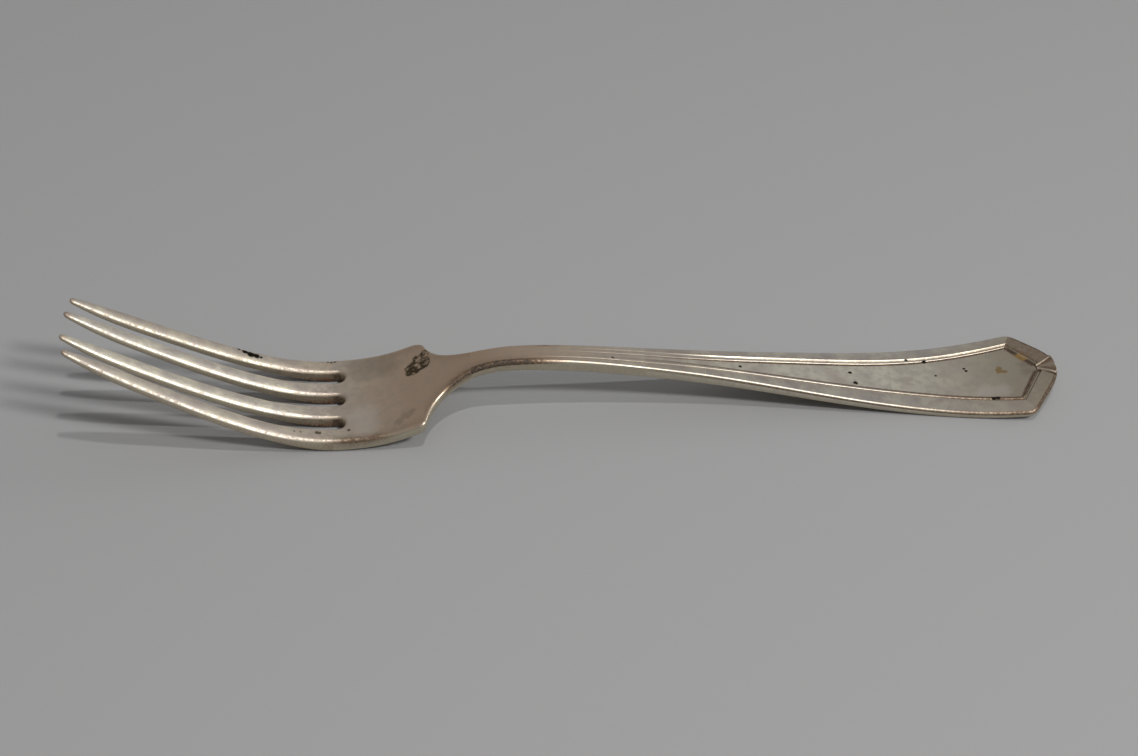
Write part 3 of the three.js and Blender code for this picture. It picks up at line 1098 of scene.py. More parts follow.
@dataclass
class Handle:
    """The handle's plate with its border: bands, beads and the keystone on the tip."""

    form: ForkForm
    relief: BorderRelief
    width: SmoothLine = field(init=False)
    width_knots: Knots = ((63, 2.2), (90, 3.25), (119, 4.25), (140.1, 4.0))
    width_slopes: Pair = (0.05, -0.03)
    mitre_back: float = 1.7 * MM
    lower_round: float = 0.6 * MM
    side_steps: int = 150
    end_steps: int = 24
    panel_steps: int = 14
    bottom_steps: int = 8
    tip_steps: int = 4
    keystone_length: float = 3.9 * MM
    keystone_narrow: float = 1.8 * MM
    keystone_flat: float = 0.1 * MM
    keystone_tone: float = 0.2
    keystone_steps: int = 14
    cord: float = 0.95 * MM
    cord_rise: float = 0.24 * MM
    cord_foot: float = 0.1 * MM
    cord_fade: float = 1.6 * MM
    cord_inset: float = 0.25 * MM
    cord_shade_power: int = 4
    cord_steps: int = 8
    sides: tuple[Side, ...] = (Side("right", 1, 0.25, 0.48), Side("left", -1, 0.6, 0.2))
    # even darkening of the plate's wall
    wall_shade: float = 0.15
    dull_from: float = 95 * MM
    # painted shade on the end bands' outer edges, in place of their highlight
    end_edge_painted_shade: float = 0.95
    corner_gap: float = 0.6 * MM
    # painted shade laid over the bands' slopes, dimming their highlight
    slope_painted_shade: float = 0.14

    def __post_init__(self) -> None:
        """Draws the line of the band's width."""
        self.width = SmoothLine(self.width_knots, *self.width_slopes)

    def side_places(self) -> list[float]:
        """Places along the handle's sides."""
        length = self.form.corner - self.form.handle
        return [self.form.handle + length * share for share in shares(self.side_steps)]

    def end_places(self) -> list[float]:
        """Places along the slanted end."""
        length = self.form.tip - self.form.corner
        return [self.form.corner + length * share for share in shares(self.end_steps)]

    def plate_ring(self, along: float, lift: float = 0.0) -> Ring:
        """Draws the plate's ring at a place.

        Args:
            along: Place along the fork.
            lift: How far the underside is lifted there.

        Returns:
            The ring.
        """
        form, relief = self.form, self.relief
        half = form.half(along)
        top = form.top(along)
        shelf = half - relief.ledge
        depth = relief.depth * form.depth_share(along)
        line = []
        for part in shares(self.panel_steps):
            across = shelf * part
            line.append((across, form.crown(along, across) - depth))
        skirt = form.crown(along, half) - relief.skirt
        line += [(shelf, skirt), (half, skirt)]
        thick = top - form.under(along) - lift
        line += lower_half(half, thick, self.lower_round, self.bottom_steps)
        ring = []
        for across, height in both_sides(line):
            shade = self.wall_shade if height < -relief.skirt else 0.0
            ring.append((form.point(along, across, top + height), shade))
        return ring

    def build_plate(self) -> BMesh:
        """Builds the plate under the border.

        Returns:
            Its closed mesh.
        """
        places = [*self.side_places(), *self.end_places()[1:-1]]
        rings = [self.plate_ring(along) for along in places]
        for sine, cosine in quarter_turn(self.tip_steps):
            along = self.form.tip - self.lower_round * (1 - sine)
            rings.append(self.plate_ring(along, self.lower_round * (1 - cosine)))
        return skin(rings)

    def side_rail(self) -> Rail:
        """Draws the border's rail along the right side.

        Returns:
            The rail.
        """
        form = self.form
        length = form.corner - form.handle
        back = (length - self.mitre_back) / length
        rail = []
        for along in self.side_places():
            inner = form.handle + (along - form.handle) * back
            bead = Vector((inner, form.side_half(inner) - self.width(inner)))
            rail.append((Vector((along, form.half(along))), bead))
        return rail

    def end_rail(self) -> Rail:
        """Draws the border's rail along the right slanted end.

        Returns:
            The rail.
        """
        form = self.form
        mitre = self.side_rail()[-1][1]
        inner = Vector((form.tip - self.keystone_length, self.keystone_narrow / 2))
        rail = []
        for along in self.end_places():
            share = (along - form.corner) / (form.tip - form.corner)
            rail.append((Vector((along, form.half(along))), mitre.lerp(inner, share)))
        return rail

    def moulding_section(
        self, moulding: Moulding, width: float, share: float, dull: float
    ) -> list[Shaded]:
        """Draws the closed section of the wide band or the thin bead.

        Args:
            moulding: Which of the two.
            width: Outer edge to the bead's middle.
            share: Share of the full depth.
            dull: Least darkening on the band's outer rounding or on the bead, part tarnish and part
                painted shade.

        Returns:
            Distance from the outer edge, height over the band, and tarnish and painted shade of each
            point.
        """
        relief = self.relief
        bottom = -relief.depth * share - relief.seat
        if moulding is Moulding.BEAD:
            edge = width + relief.bead / 2
            top = [
                (place, height, max(shade, dull if place < edge else 0.0))
                for place, height, shade in relief.ridge(width, share)
            ]
            return [(top[0][0], bottom, 1.0), *top, (top[-1][0], bottom, 1.0)]
        top = [
            (place, height, max(shade, self.slope_painted_shade))
            for place, height, shade in relief.band(width, share)
        ]
        return [
            (0.0, -relief.skirt, 0.0),
            *relief.outer_arc(width, share, dull),
            *top,
            (top[-1][0], bottom, 1.0),
            (relief.ledge, bottom, 1.0),
            (relief.ledge, -relief.skirt, 1.0),
        ]

    def build_moulding(self, side: Side, stretch: Stretch, moulding: Moulding) -> BMesh:
        """Builds a band or bead of the border.

        Args:
            side: Which side of the handle.
            stretch: Which stretch of the border.
            moulding: Whether to build the band or the bead.

        Returns:
            Its closed mesh.
        """
        form = self.form
        at_side = stretch is Stretch.SIDE
        rail = self.side_rail() if at_side else self.end_rail()
        tone = 0.0 if at_side else side.end_tone
        rings = []
        for outer, inner in rail:
            width = (outer - inner).length
            # the outer edge and bead darken towards the end: part tarnish, part painted shade that dims
            # their highlights
            dull = side.dull * risen(outer.x, self.dull_from, form.corner)
            if outer.x > form.corner + self.corner_gap:
                dull = self.end_edge_painted_shade
            lined = form.line_share(outer.x)
            share = form.depth_share(outer.x)
            ring = []
            for place, height, shade in self.moulding_section(moulding, width, share, dull):
                along, across = outer.lerp(inner, place / width)
                level = form.surface(along, across) + height
                point = form.point(along, side.sign * across, level)
                ring.append((point, max(shade * lined, tone)))
            rings.append(ring)
        return skin(rings)

    def keystone_section(self, half: float, rise: float) -> list[Shaded]:
        """Draws the right half of the keystone, from the middle of its top to that of its bottom.

        Args:
            half: Half the keystone's width.
            rise: How far its cord rises.

        Returns:
            Across, down and tarnish of each point.
        """
        skirt = self.relief.skirt
        flat = max(half - self.cord, self.keystone_flat)
        line = [(0.0, 0.0, 0.0)]
        for part in shares(self.cord_steps):
            turn = math.pi * part
            height = rise * math.sin(turn) + self.cord_foot * min(math.cos(turn), 0.0)
            shade = abs(math.cos(turn)) ** self.cord_shade_power
            line.append((flat + (half - flat) * part, height, shade))
        return [*line, (half, -skirt, 1.0), (0.0, -skirt, 1.0)]

    def build_keystone(self) -> BMesh:
        """Builds the keystone between the two end bands.

        Returns:
            Its closed mesh.
        """
        form, relief = self.form, self.relief
        start = form.tip - self.keystone_length
        narrow = self.keystone_narrow / 2
        places = [start + self.keystone_length * share for share in shares(self.keystone_steps)]
        for sine, _ in quarter_turn(ROUND_STEPS)[1:-1]:
            places.append(form.tip - relief.outer_round * (1 - sine))
        rings = []
        for along in sorted(places):
            share = (along - start) / self.keystone_length
            half = narrow + (form.tip_half - narrow) * share
            half = min(half, form.half(along) - self.cord_inset)
            rise = self.cord_rise * eased((form.tip - along) / self.cord_fade)
            inside = min((form.tip - along) / relief.outer_round, 1.0)
            drop = relief.outer_round * (1 - math.sqrt(1 - (1 - inside) ** 2))
            ring = []
            for across, height, shade in both_sides(self.keystone_section(half, rise)):
                level = form.surface(along, across) + height
                if height > -relief.skirt:
                    level -= drop
                ring.append((form.point(along, across, level), max(shade, self.keystone_tone)))
            rings.append(ring)
        return skin(rings)

    def dress(self, materials: Materials) -> None:
        """Makes the plate, each moulding and the keystone a piece.

        Args:
            materials: Material of each slot.
        """
        piece(self.build_plate(), "handle_plate", Slot.BODY, materials)
        for side, stretch, moulding in product(self.sides, Stretch, Moulding):
            mesh = self.build_moulding(side, stretch, moulding)
            piece(mesh, f"{stretch.value}_{moulding.value}_{side.hand}", Slot.BORDER, materials)
        piece(self.build_keystone(), "tip_keystone", Slot.BORDER, materials)


@dataclass(frozen=True)
class Cloud:
    """A cloud pattern: features to a millimetre, detail, and the range of it that shows."""

    scale: float
    detail: float
    shown: Pair = (0.0, 1.0)


@dataclass(frozen=True)
class Tear:
    """How a mark's edge is torn: features to a millimetre, detail, and reach in millimetres."""

    scale: float
    reach: float
    detail: float = 4.0


class NodePen:
    """Adds nodes to one tree and links them."""

    def __init__(self, tree: ShaderNodeTree) -> None:
        """Keeps the tree."""
        self.tree = tree

    def link(self, source: NodeSocket, target: NodeSocket) -> None:
        """Links a socket to an input."""
        self.tree.links.new(source, target)

    def add(self, kind: str, inputs: Mapping[str | int, object], **settings: object) -> bpy.types.Node:
        """Adds a node.

        Args:
            kind: The node's type.
            inputs: Values or sockets for its inputs.
            settings: Its other properties.

        Returns:
            The node.
        """
        node = self.tree.nodes.new(kind)
        for name, value in settings.items():
            setattr(node, name, value)
        for name, value in inputs.items():
            if isinstance(value, NodeSocket):
                self.link(value, node.inputs[name])
            else:
                node.inputs[name].default_value = value
        return node

    def math(self, operation: str, *terms: Value, clamp: bool = False) -> NodeSocket:
        """Adds an operation on numbers and gives its socket."""
        settings = {"operation": operation, "use_clamp": clamp}
        return self.add("ShaderNodeMath", dict(enumerate(terms)), **settings).outputs[0]

    def vector(self, operation: str, *terms: object) -> bpy.types.Node:
        """Adds an operation on vectors and gives its node."""
        return self.add("ShaderNodeVectorMath", dict(enumerate(terms)), operation=operation)

    def attribute(self, name: str) -> NodeSocket:
        """Adds an attribute of the mesh and gives its socket."""
        return self.add("ShaderNodeAttribute", {}, attribute_name=name).outputs["Fac"]

    def mixed(self, share: Value, first: Tint, second: Tint) -> NodeSocket:
        """Adds a mix of two colours.

        Args:
            share: Share of the second colour.
            first: The first colour.
            second: The second colour.

        Returns:
            The mix's socket.
        """
        inputs = {0: share}
        for index, tint in zip(MIX_COLOURS, (first, second), strict=True):
            inputs[index] = tint if isinstance(tint, NodeSocket) else (*tint, 1.0)
        return self.add("ShaderNodeMix", inputs, data_type="RGBA").outputs[MIX_RESULT]

    def mapped(
        self, value: NodeSocket, low: float, high: float, between: Pair = (0.0, 1.0)
    ) -> NodeSocket:
        """Adds a straight, held range.

        Args:
            value: The number to map.
            low: Value of the range at its start.
            high: Value of the range at its end.
            between: The number's own start and end.

        Returns:
            The range's socket.
        """
        ends = {"From Min": between[0], "From Max": between[1], "To Min": low, "To Max": high}
        return self.add("ShaderNodeMapRange", {"Value": value, **ends}).outputs[0]

    def ranged(self, value: NodeSocket, low: float, high: float) -> NodeSocket:
        """Adds an eased range from 0 at low to 1 at high.

        Args:
            value: The number to map.
            low: Number at which the range is 0.
            high: Number at which the range is 1.

        Returns:
            The range's socket.
        """
        inputs = {"Value": value, "From Min": low, "From Max": high}
        return self.add("ShaderNodeMapRange", inputs, interpolation_type="SMOOTHSTEP").outputs[0]

    def weighed(self, total: Value, *parts: tuple[Value, float]) -> NodeSocket:
        """Adds weighed parts to a number.

        Args:
            total: The number.
            parts: Pairs of a socket or number and its weight.

        Returns:
            The total's socket.
        """
        for part, weight in parts:
            total = self.math("MULTIPLY_ADD", part, weight, total)
        return total

    def noise(self, place: NodeSocket, scale: float, detail: float) -> bpy.types.Node:
        """Adds a cloud pattern and gives its node."""
        return self.add("ShaderNodeTexNoise", {"Vector": place, "Scale": scale, "Detail": detail})

    def torn(self, place: NodeSocket, tear: Tear) -> NodeSocket:
        """Shifts a place about by a cloud pattern, by up to half the tear's reach each way.

        Args:
            place: The place.
            tear: Size and reach of the shifts.

        Returns:
            The shifted place's socket.
        """
        cloud = self.noise(place, tear.scale, tear.detail).outputs["Color"]
        shifted = self.vector("MULTIPLY_ADD", cloud, (tear.reach,) * 3, place).outputs[0]
        return self.vector("SUBTRACT", shifted, (tear.reach / 2,) * 3).outputs[0]

    def scaled(self, place: NodeSocket, scale: Triple) -> NodeSocket:
        """Adds a stretched copy of a place and gives its socket."""
        return self.add("ShaderNodeMapping", {"Vector": place, "Scale": scale}).outputs[0]


@dataclass(frozen=True)
class Mark:
    """A mark on the top of the fork, in millimetres; soft is the share of its size that fades."""

    kind: MarkKind
    along: float
    across: float
    size: float
    lift: float = 0.0
    soft: float = 0.25


@dataclass(frozen=True)
class Tone:
    """How much of the warm and of the smoky tone lies at a place, in millimetres past the roots."""

    along: float
    warm: float
    smoky: float


@dataclass(frozen=True)
class SilverFinish:
    """Worn silver plate: clouded tone, hairlines, tarnish in the recesses, marks, and painted shade on
    the side faces and on some edges.
    """

    slot: Slot
    marks: tuple[Mark, ...]
    bright: Colour = (0.79, 0.75, 0.64)
    dull: Colour = (0.60, 0.555, 0.515)
    warm: Colour = (0.55, 0.415, 0.31)
    smoky: Colour = (0.42, 0.365, 0.28)
    # painted shade: side faces are mixed towards this darker olive colour by how far they turn from up
    wall: Colour = (0.63, 0.585, 0.45)
    painted_wall_shade_share: float = 0.8
    wall_tone: float = 0.4
    brown: Colour = (0.235, 0.16, 0.105)
    brown_at: float = 0.6
    tarnish_and_shade: Colour = (0.045, 0.034, 0.026)
    tarnish_and_shade_from: float = 0.45
    tarnish_and_shade_metal: float = 0.25
    patchiness: float = 0.35
    mottle: Colour = (0.42, 0.365, 0.335)
    mottling: float = 0.4
    oxide: Colour = (0.016, 0.012, 0.009)
    blot: Colour = (0.08, 0.058, 0.033)
    blot_filled: Pair = (0.37, 0.56)
    blot_rim: float = 2.6
    speck_share: float = 0.8
    ochre: Colour = (0.34, 0.22, 0.08)
    stain_share: float = 0.8
    smudge: Colour = (0.27, 0.222, 0.18)
    smudge_share: float = 0.42
    bloom: Colour = (0.74, 0.69, 0.645)
    bloom_share: float = 0.45
    clouds: Cloud = Cloud(0.22, 5.0, (0.36, 0.66))
    specks: Cloud = Cloud(1.9, 4.0, (0.36, 0.6))
    patches: Cloud = Cloud(0.62, 6.0, (0.42, 0.66))
    hairs: Cloud = Cloud(1.0, 5.0)
    hair_stretch: Triple = (0.07, 2.6, 2.6)
    wide_tear: Tear = Tear(0.7, 2.2)
    fine_tear: Tear = Tear(1.8, 0.5)
    roughness: float = 0.36
    cloud_rough: float = 0.12
    hair_rough: float = 0.05
    tarnish_and_shade_rough: float = 0.3
    blot_rough: float = 0.25
    pit_rough: float = 0.4
    grain: float = 0.0
    grain_shown: Pair = (0.4, 0.64)
    bump: float = 0.2
    bump_depth: float = 0.03 * MM
    hair_relief: float = 0.6
    speck_relief: float = 0.35
    pit_relief: float = -3.0
    toning: tuple[Tone, ...] = (
        Tone(-51, 0.0, 0.1), Tone(-14, 0.08, 0.0), Tone(0, 0.35, 0.0), Tone(5, 0.62, 0.0),
        Tone(16, 0.92, 0.0), Tone(30, 1.0, 0.0), Tone(44, 0.8, 0.0), Tone(56, 0.45, 0.1),
        Tone(70, 0.2, 0.15), Tone(88, 0.05, 0.0), Tone(114, 0.0, 0.05),
    )
    end_toning: tuple[Tone, ...] = (
        Tone(124, 0.02, 0.25), Tone(132, 0.05, 0.5), Tone(138, 0.1, 0.8), Tone(149, 0.15, 0.9),
    )


class SilverPaint:
    """Draws one finish into the tree of a new material."""

    def __init__(self, finish: SilverFinish, form: ForkForm) -> None:
        """Makes the material and draws what its colour, roughness and relief share.

        Args:
            finish: The finish.
            form: The fork's lines.
        """
        self.finish = finish
        self.form = form
        self.made = bpy.data.materials.new(finish.slot.value)
        self.made.use_nodes = True
        self.pen = pen = NodePen(self.made.node_tree)
        place = pen.add("ShaderNodeTexCoord", {}).outputs["Object"]
        self.place = pen.scaled(place, (1 / MM, 1 / MM, 1 / MM))
        self.cloud, self.speck, self.patch = (
            pen.noise(self.place, pattern.scale, pattern.detail).outputs[0]
            for pattern in (finish.clouds, finish.specks, finish.patches)
        )
        stretched = pen.scaled(self.place, finish.hair_stretch)
        self.hair = pen.noise(stretched, finish.hairs.scale, finish.hairs.detail).outputs[0]
        self.level = pen.attribute(LEVEL)
        kept = pen.mapped(pen.ranged(self.speck, *finish.specks.shown), 1 - finish.patchiness, 1.0)
        self.patchy = pen.math("MULTIPLY", pen.attribute(TARNISH_AND_SHADE), kept, clamp=True)
        self.dark = pen.mapped(self.patchy, 0.0, 1.0, (finish.tarnish_and_shade_from, 1.0))
        self.wide = pen.torn(self.place, finish.wide_tear)
        self.fine = pen.torn(self.place, finish.fine_tear)
        self.blot = self.blotted()
        self.pit = self.mask(self.fine, MarkKind.PIT)

    def mask(self, place: NodeSocket, kind: MarkKind) -> Value:
        """Joins the marks of one kind into a mask.

        Args:
            place: Place in millimetres, torn about.
            kind: Kind of mark.

        Returns:
            The mask's socket, or 0 where there is no such mark.
        """
        mask: Value = 0.0
        for mark in self.finish.marks:
            if mark.kind is not kind:
                continue
            along, across = mark.along * MM, mark.across * MM
            height = self.form.surface(along, across) + mark.lift * MM
            centre = self.form.point(along, across, height) / MM
            gap = self.pen.vector("DISTANCE", place, centre).outputs["Value"]
            spot = self.pen.ranged(gap, mark.size * (1 + mark.soft), mark.size * (1 - mark.soft))
            mask = self.pen.math("MAXIMUM", mask, spot)
        return mask

    def blotted(self) -> NodeSocket:
        """Draws the mask of the blots, which are patchy inside and have a closed rim.

        Returns:
            The mask's socket.
        """
        pen = self.pen
        blot = self.mask(self.wide, MarkKind.BLOT)
        rim = pen.math("MULTIPLY", blot, pen.math("SUBTRACT", 1.0, blot))
        filled = pen.math("MULTIPLY", pen.ranged(self.patch, *self.finish.blot_filled), blot)
        return pen.math("MULTIPLY_ADD", rim, self.finish.blot_rim, filled, clamp=True)

    def toned(self) -> tuple[NodeSocket, NodeSocket]:
        """Draws how much of the warm and of the smoky tone lies along the fork.

        Returns:
            The sockets of the two shares.
        """
        pen = self.pen
        toning = self.finish.toning + self.finish.end_toning
        first, last = toning[0].along, toning[-1].along
        start = self.form.root / MM + first
        along = pen.add("ShaderNodeSeparateXYZ", {0: self.place}).outputs[0]
        span = pen.mapped(along, 0.0, 1.0, (start, start + last - first))
        ramp = pen.add("ShaderNodeValToRGB", {0: span})
        points = ramp.color_ramp.elements
        while len(points) < len(toning):
            points.new(0.5)
        for point, tone in zip(points, toning, strict=True):
            point.position = (tone.along - first) / (last - first)
            point.color = (tone.warm, tone.smoky, 0.0, 1.0)
        tones = pen.add("ShaderNodeSeparateColor", {0: ramp.outputs[0]}).outputs
        return tones[0], tones[1]

    def clean(self) -> NodeSocket:
        """Draws the clouded colour of the metal before tarnish and marks, with painted shade that turns
        the side faces towards a darker olive wall colour.

        Returns:
            The colour's socket.
        """
        pen, finish = self.pen, self.finish
        clouded = pen.ranged(self.cloud, *finish.clouds.shown)
        colour = pen.mixed(clouded, finish.bright, finish.dull)
        # side faces take less of the tones: painted shade by facing
        upward = pen.mapped(self.level, finish.wall_tone, 1.0)
        for share, tone in zip(self.toned(), (finish.warm, finish.smoky), strict=True):
            colour = pen.mixed(pen.math("MULTIPLY", share, upward), colour, tone)
        mottled = pen.ranged(self.patch, *finish.patches.shown)
        colour = pen.mixed(pen.math("MULTIPLY", mottled, finish.mottling), colour, finish.mottle)
        # painted shade: side faces turn towards the wall colour
        return pen.mixed(pen.mapped(self.level, finish.painted_wall_shade_share, 0.0), colour, finish.wall)

    def tarnished_and_shaded(self, colour: NodeSocket) -> NodeSocket:
        """Lays the tarnish and painted shade over a colour, brown where it is thin and dark where it is
        thick.

        Args:
            colour: The colour's socket.

        Returns:
            The new colour's socket.
        """
        brown = self.pen.math("DIVIDE", self.patchy, self.finish.brown_at, clamp=True)
        colour = self.pen.mixed(brown, colour, self.finish.brown)
        return self.pen.mixed(self.dark, colour, self.finish.tarnish_and_shade)

    def marked(self, colour: NodeSocket) -> NodeSocket:
        """Lays the marks over a colour.

        Args:
            colour: The colour's socket.

        Returns:
            The new colour's socket.
        """
        finish = self.finish
        speck = self.mask(self.fine, MarkKind.SPECK)
        for mask, share, tone in (
            (self.mask(self.wide, MarkKind.BLOOM), finish.bloom_share, finish.bloom),
            (self.mask(self.wide, MarkKind.SMUDGE), finish.smudge_share, finish.smudge),
            (self.mask(self.wide, MarkKind.STAIN), finish.stain_share, finish.ochre),
            (self.blot, 1.0, finish.blot),
            (speck, finish.speck_share, finish.blot),
            (self.pit, 1.0, finish.oxide),
        ):
            colour = self.pen.mixed(self.pen.math("MULTIPLY", mask, share), colour, tone)
        return colour

    def rough(self) -> NodeSocket:
        """Draws how rough the surface is.

        Returns:
            The roughness's socket.
        """
        pen, finish = self.pen, self.finish
        total = pen.weighed(
            finish.roughness - finish.cloud_rough / 2,
            (self.cloud, finish.cloud_rough),
            (self.hair, finish.hair_rough),
            (self.patchy, finish.tarnish_and_shade_rough),
            (pen.ranged(self.speck, *finish.grain_shown), finish.grain),
            (self.blot, finish.blot_rough),
        )
        return pen.math("MULTIPLY_ADD", self.pit, finish.pit_rough, total, clamp=True)

    def relief(self) -> NodeSocket:
        """Draws the fine relief of hairlines, grain and pits.

        Returns:
            The socket of the bent normal.
        """
        finish = self.finish
        height = self.pen.weighed(
            0.0,
            (self.hair, finish.hair_relief),
            (self.speck, finish.speck_relief),
            (self.pit, finish.pit_relief),
        )
        settings = {"Strength": finish.bump, "Distance": finish.bump_depth, "Height": height}
        return self.pen.add("ShaderNodeBump", settings).outputs[0]

    def paint(self) -> Material:
        """Links colour, metal, roughness and relief to the material's shader.

        Returns:
            The material.
        """
        shader = self.made.node_tree.nodes["Principled BSDF"]
        for name, socket in (
            ("Base Color", self.marked(self.tarnished_and_shaded(self.clean()))),
            ("Metallic", self.pen.mapped(self.dark, 1.0, self.finish.tarnish_and_shade_metal)),
            ("Roughness", self.rough()),
            ("Normal", self.relief()),
        ):
            self.pen.link(socket, shader.inputs[name])
        return self.made


@dataclass(frozen=True)
class Lamp:
    """A soft lamp that points at the fork."""

    name: str
    towards: Triple
    size: Pair
    power: float
    distance: float = 1.2
    colour: Colour = (1.0, 0.985, 0.96)


@dataclass
class Studio:
    """Floor, lamps, surroundings and the camera at the photograph's angle."""

    elevation: float = 40.0
    turn: float = 5.58
    roll: float = 1.28
    distance: float = 444.8 * MM
    target: Triple = (-0.37 * MM, 7.19 * MM, 0.0)
    focal_pixels: float = 2150.0
    frame_pixels: float = 1138.0
    sensor: float = 36.0
    nearest: float = 10 * MM
    floor_size: float = 3.0
    floor_drop: float = 0.02 * MM
    floor_colour: Colour = (0.318, 0.321, 0.33)
    floor_rough: float = 0.7
    floor_gloss: float = 0.2
    window: Colour = (3.0, 3.0, 2.95)
    window_side: Triple = (0.88, 0.29, 0.30)
    window_edge: Pair = (0.955, 0.985)
    light_side: Colour = (0.42, 0.42, 0.415)
    dark_side: Colour = (0.33, 0.31, 0.29)
    side_edge: Pair = (-0.55, 0.3)
    overhead: Colour = (0.27, 0.265, 0.26)
    overhead_edge: Pair = (0.62, 0.86)
    front: Colour = (0.10, 0.095, 0.09)
    front_edge: Pair = (-0.05, -0.4)
    front_height: Pair = (0.5, 0.2)
    lamps: tuple[Lamp, ...] = (
        Lamp("main_lamp", (0.45, -0.487, 0.749), (0.15, 0.13), 8.0),
        Lamp("high_lamp", (0.09, -0.206, 0.974), (0.05, 0.03), 3.3),
    )

    def set_camera(self) -> None:
        """Places the camera."""
        tilt, turn, roll = (math.radians(angle) for angle in (self.elevation, self.turn, self.roll))
        back = Vector(
            (-math.sin(turn) * math.cos(tilt), -math.cos(turn) * math.cos(tilt), math.sin(tilt))
        )
        level = Vector((math.cos(turn), -math.sin(turn), 0.0))
        upright = back.cross(level)
        right = level * math.cos(roll) + upright * math.sin(roll)
        up = upright * math.cos(roll) - level * math.sin(roll)
        data = bpy.data.cameras.new("camera")
        data.sensor_width = self.sensor
        data.lens = self.focal_pixels * self.sensor / self.frame_pixels
        data.clip_start = self.nearest
        camera = bpy.data.objects.new("camera", data)
        turned = Matrix((right, up, back)).transposed().to_4x4()
        camera.matrix_world = Matrix.Translation(Vector(self.target) + back * self.distance) @ turned
        bpy.context.scene.collection.objects.link(camera)
        bpy.context.scene.camera = camera

    def set_lamps(self) -> None:
        """Hangs the lamps."""
        for lamp in self.lamps:
            data = bpy.data.lights.new(lamp.name, "AREA")
            data.shape = "RECTANGLE"
            data.size, data.size_y = lamp.size
            data.energy = lamp.power
            data.color = lamp.colour
            hung = bpy.data.objects.new(lamp.name, data)
            away = Vector(lamp.towards).normalized()
            hung.location = away * lamp.distance
            hung.rotation_euler = away.to_track_quat("Z", "Y").to_euler()
            bpy.context.scene.collection.objects.link(hung)

    def set_world(self) -> None:
        """Sets the plain surroundings, darker and warmer on the left, with one bright window."""
        world = bpy.data.worlds.new("surroundings")
        world.use_nodes = True
        bpy.context.scene.world = world
        pen = NodePen(world.node_tree)
        heading = pen.add("ShaderNodeTexCoord", {}).outputs["Generated"]
        right, back, up = pen.add("ShaderNodeSeparateXYZ", {0: heading}).outputs
        colour = pen.mixed(pen.ranged(right, *self.side_edge), self.dark_side, self.light_side)
        colour = pen.mixed(pen.ranged(up, *self.overhead_edge), colour, self.overhead)
        low = pen.ranged(up, *self.front_height)
        nearby = pen.math("MULTIPLY", pen.ranged(back, *self.front_edge), low)
        colour = pen.mixed(nearby, colour, self.front)
        window = Vector(self.window_side).normalized()
        facing = pen.vector("DOT_PRODUCT", heading, window).outputs["Value"]
        colour = pen.mixed(pen.ranged(facing, *self.window_edge), colour, self.window)
        pen.link(colour, world.node_tree.nodes["Background"].inputs[0])

    def lay_floor(self) -> None:
        """Lays the plain floor."""
        mesh = bmesh.new()
        bmesh.ops.create_grid(mesh, x_segments=1, y_segments=1, size=self.floor_size / 2)
        bmesh.ops.translate(mesh, verts=mesh.verts, vec=(0, 0, -self.floor_drop))
        data = bpy.data.meshes.new("floor")
        mesh.to_mesh(data)
        mesh.free()
        made = bpy.data.materials.new("floor")
        made.use_nodes = True
        shader = made.node_tree.nodes["Principled BSDF"]
        shader.inputs["Base Color"].default_value = (*self.floor_colour, 1.0)
        shader.inputs["Roughness"].default_value = self.floor_rough
        shader.inputs["Specular IOR Level"].default_value = self.floor_gloss
        data.materials.append(made)
        floor = bpy.data.objects.new("floor", data)
        bpy.context.scene.collection.objects.link(floor)

    def build(self) -> None:
        """Sets up the whole studio."""
        bpy.context.scene.view_settings.view_transform = "Standard"
        self.set_camera()
        self.set_lamps()
        self.set_world()
        self.lay_floor()


TINE_FINISH = SilverFinish(
    slot=Slot.TINE,
    marks=(
        Mark(MarkKind.PIT, -18.7, 11.4, 0.4, 4.9),
        Mark(MarkKind.PIT, -17.5, 10.9, 0.65, 4.4),
        Mark(MarkKind.PIT, -16.4, 10.6, 0.85, 3.9),
        Mark(MarkKind.PIT, -15.3, 10.5, 0.7, 3.5),
        Mark(MarkKind.PIT, -14.4, 10.4, 0.35, 3.1),
        Mark(MarkKind.SPECK, -7.6, -10.4, 0.3, 0.85),
        Mark(MarkKind.SPECK, -6.4, -10.3, 0.3, 0.6),
        Mark(MarkKind.SPECK, -3.1, -10.1, 0.45, 0.15),
        Mark(MarkKind.SPECK, -2.6, -10.2, 0.4, 0.15),
        Mark(MarkKind.SPECK, -3.9, 5.4, 0.3, 0.2),
        Mark(MarkKind.SPECK, -3.4, 5.2, 0.3, 0.2),
        Mark(MarkKind.SPECK, -1.0, 11.9, 0.25),
        Mark(MarkKind.SPECK, -0.3, 11.8, 0.3),
    ),
    brown=(0.25, 0.135, 0.075),
    mottling=0.2,
    roughness=0.4,
    grain=0.22,
)

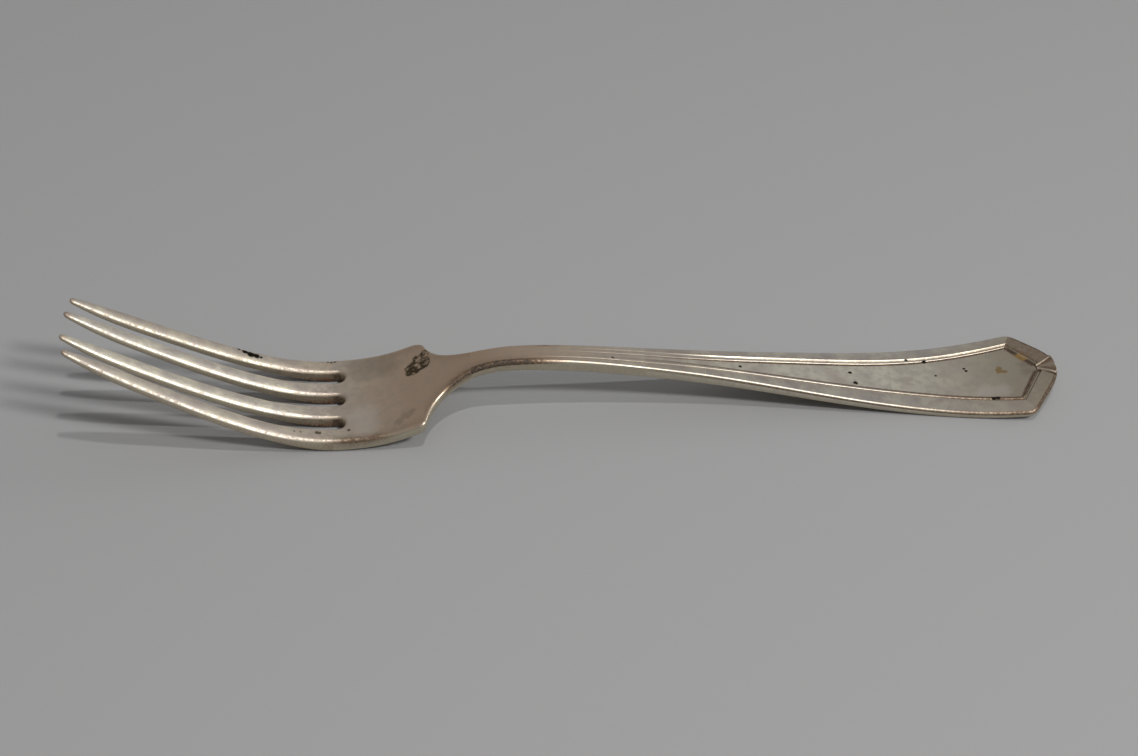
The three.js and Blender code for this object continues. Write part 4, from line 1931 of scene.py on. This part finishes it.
BODY_FINISH = SilverFinish(
    slot=Slot.BODY,
    bright=(0.84, 0.80, 0.68),
    dull=(0.68, 0.63, 0.57),
    mottle=(0.47, 0.42, 0.355),
    marks=(
        Mark(MarkKind.BLOT, 16.5, 5.0, 1.9),
        Mark(MarkKind.BLOT, 18.1, 5.7, 1.7),
        Mark(MarkKind.BLOT, 17.3, 7.7, 1.1),
        Mark(MarkKind.BLOT, 18.8, 8.3, 1.0),
        Mark(MarkKind.SPECK, 0.4, 11.9, 0.3),
        Mark(MarkKind.SMUDGE, 6.5, 9.0, 3.6, 0.0, 0.6),
        Mark(MarkKind.SMUDGE, 10.5, 8.8, 3.2, 0.0, 0.6),
        Mark(MarkKind.SMUDGE, 13.4, -9.6, 0.9, 0.0, 0.5),
        Mark(MarkKind.SMUDGE, 14.6, -8.8, 1.0, 0.0, 0.5),
        Mark(MarkKind.SMUDGE, 15.8, -7.9, 0.8, 0.0, 0.5),
        Mark(MarkKind.BLOOM, 6.0, -6.0, 3.0, 0.0, 0.6),
        Mark(MarkKind.BLOOM, 6.5, -9.0, 2.5, 0.0, 0.6),
        Mark(MarkKind.BLOOM, 133.5, -5.0, 2.0, -0.3, 0.6),
        Mark(MarkKind.BLOOM, 136.5, -5.2, 1.8, -0.3, 0.6),
        Mark(MarkKind.SMUDGE, 143.0, 1.6, 1.5, -0.3, 0.7),
        Mark(MarkKind.SMUDGE, 142.6, -0.6, 1.3, -0.3, 0.7),
        Mark(MarkKind.SPECK, 3.2, -9.6, 0.35),
        Mark(MarkKind.PIT, 56.5, -0.7, 0.3),
        Mark(MarkKind.PIT, 82.7, -0.1, 0.38, -0.3),
        Mark(MarkKind.PIT, 105.9, 1.0, 0.42, -0.3),
        Mark(MarkKind.PIT, 106.5, -2.2, 0.5, -0.3),
        Mark(MarkKind.PIT, 124.0, 0.8, 0.28, -0.3),
        Mark(MarkKind.PIT, 130.3, 2.6, 0.3, -0.3),
        Mark(MarkKind.PIT, 130.6, 1.8, 0.35, -0.3),
        Mark(MarkKind.STAIN, 137.4, 0.9, 0.9, -0.3),
        Mark(MarkKind.STAIN, 138.2, 0.6, 0.7, -0.3),
    ),
)

BORDER_FINISH = SilverFinish(
    slot=Slot.BORDER,
    bright=(0.70, 0.665, 0.57),
    dull=(0.52, 0.485, 0.455),
    end_toning=(
        Tone(124, 0.0, 0.1), Tone(134, 0.05, 0.3), Tone(140, 0.08, 0.5), Tone(149, 0.1, 0.7),
    ),
    marks=(
        Mark(MarkKind.PIT, 118.8, 5.55, 0.4, -0.15),
        Mark(MarkKind.PIT, 122.5, 5.2, 0.45, -0.15),
        Mark(MarkKind.PIT, 134.3, -7.25, 0.55, -0.15),
        Mark(MarkKind.PIT, 135.1, -7.25, 0.55, -0.15),
        Mark(MarkKind.SPECK, 144.0, 1.9, 0.45),
        Mark(MarkKind.SPECK, 144.5, 1.3, 0.4),
        Mark(MarkKind.SPECK, 145.0, -1.4, 0.4),
        Mark(MarkKind.STAIN, 142.2, 4.5, 1.2),
        Mark(MarkKind.STAIN, 143.2, 3.6, 0.9),
    ),
)


def main() -> None:
    """Builds the fork's pieces and the studio round them."""
    logging.basicConfig(level=logging.INFO, format="%(name)s: %(message)s")
    form = ForkForm()
    relief = BorderRelief()
    finishes = (TINE_FINISH, BODY_FINISH, BORDER_FINISH)
    materials = {finish.slot: SilverPaint(finish, form).paint() for finish in finishes}
    for assembly in (Tines(form), Bowl(form), Neck(form, relief), Handle(form, relief)):
        assembly.dress(materials)
    Studio().build()


if __name__ == "__main__":
    main()
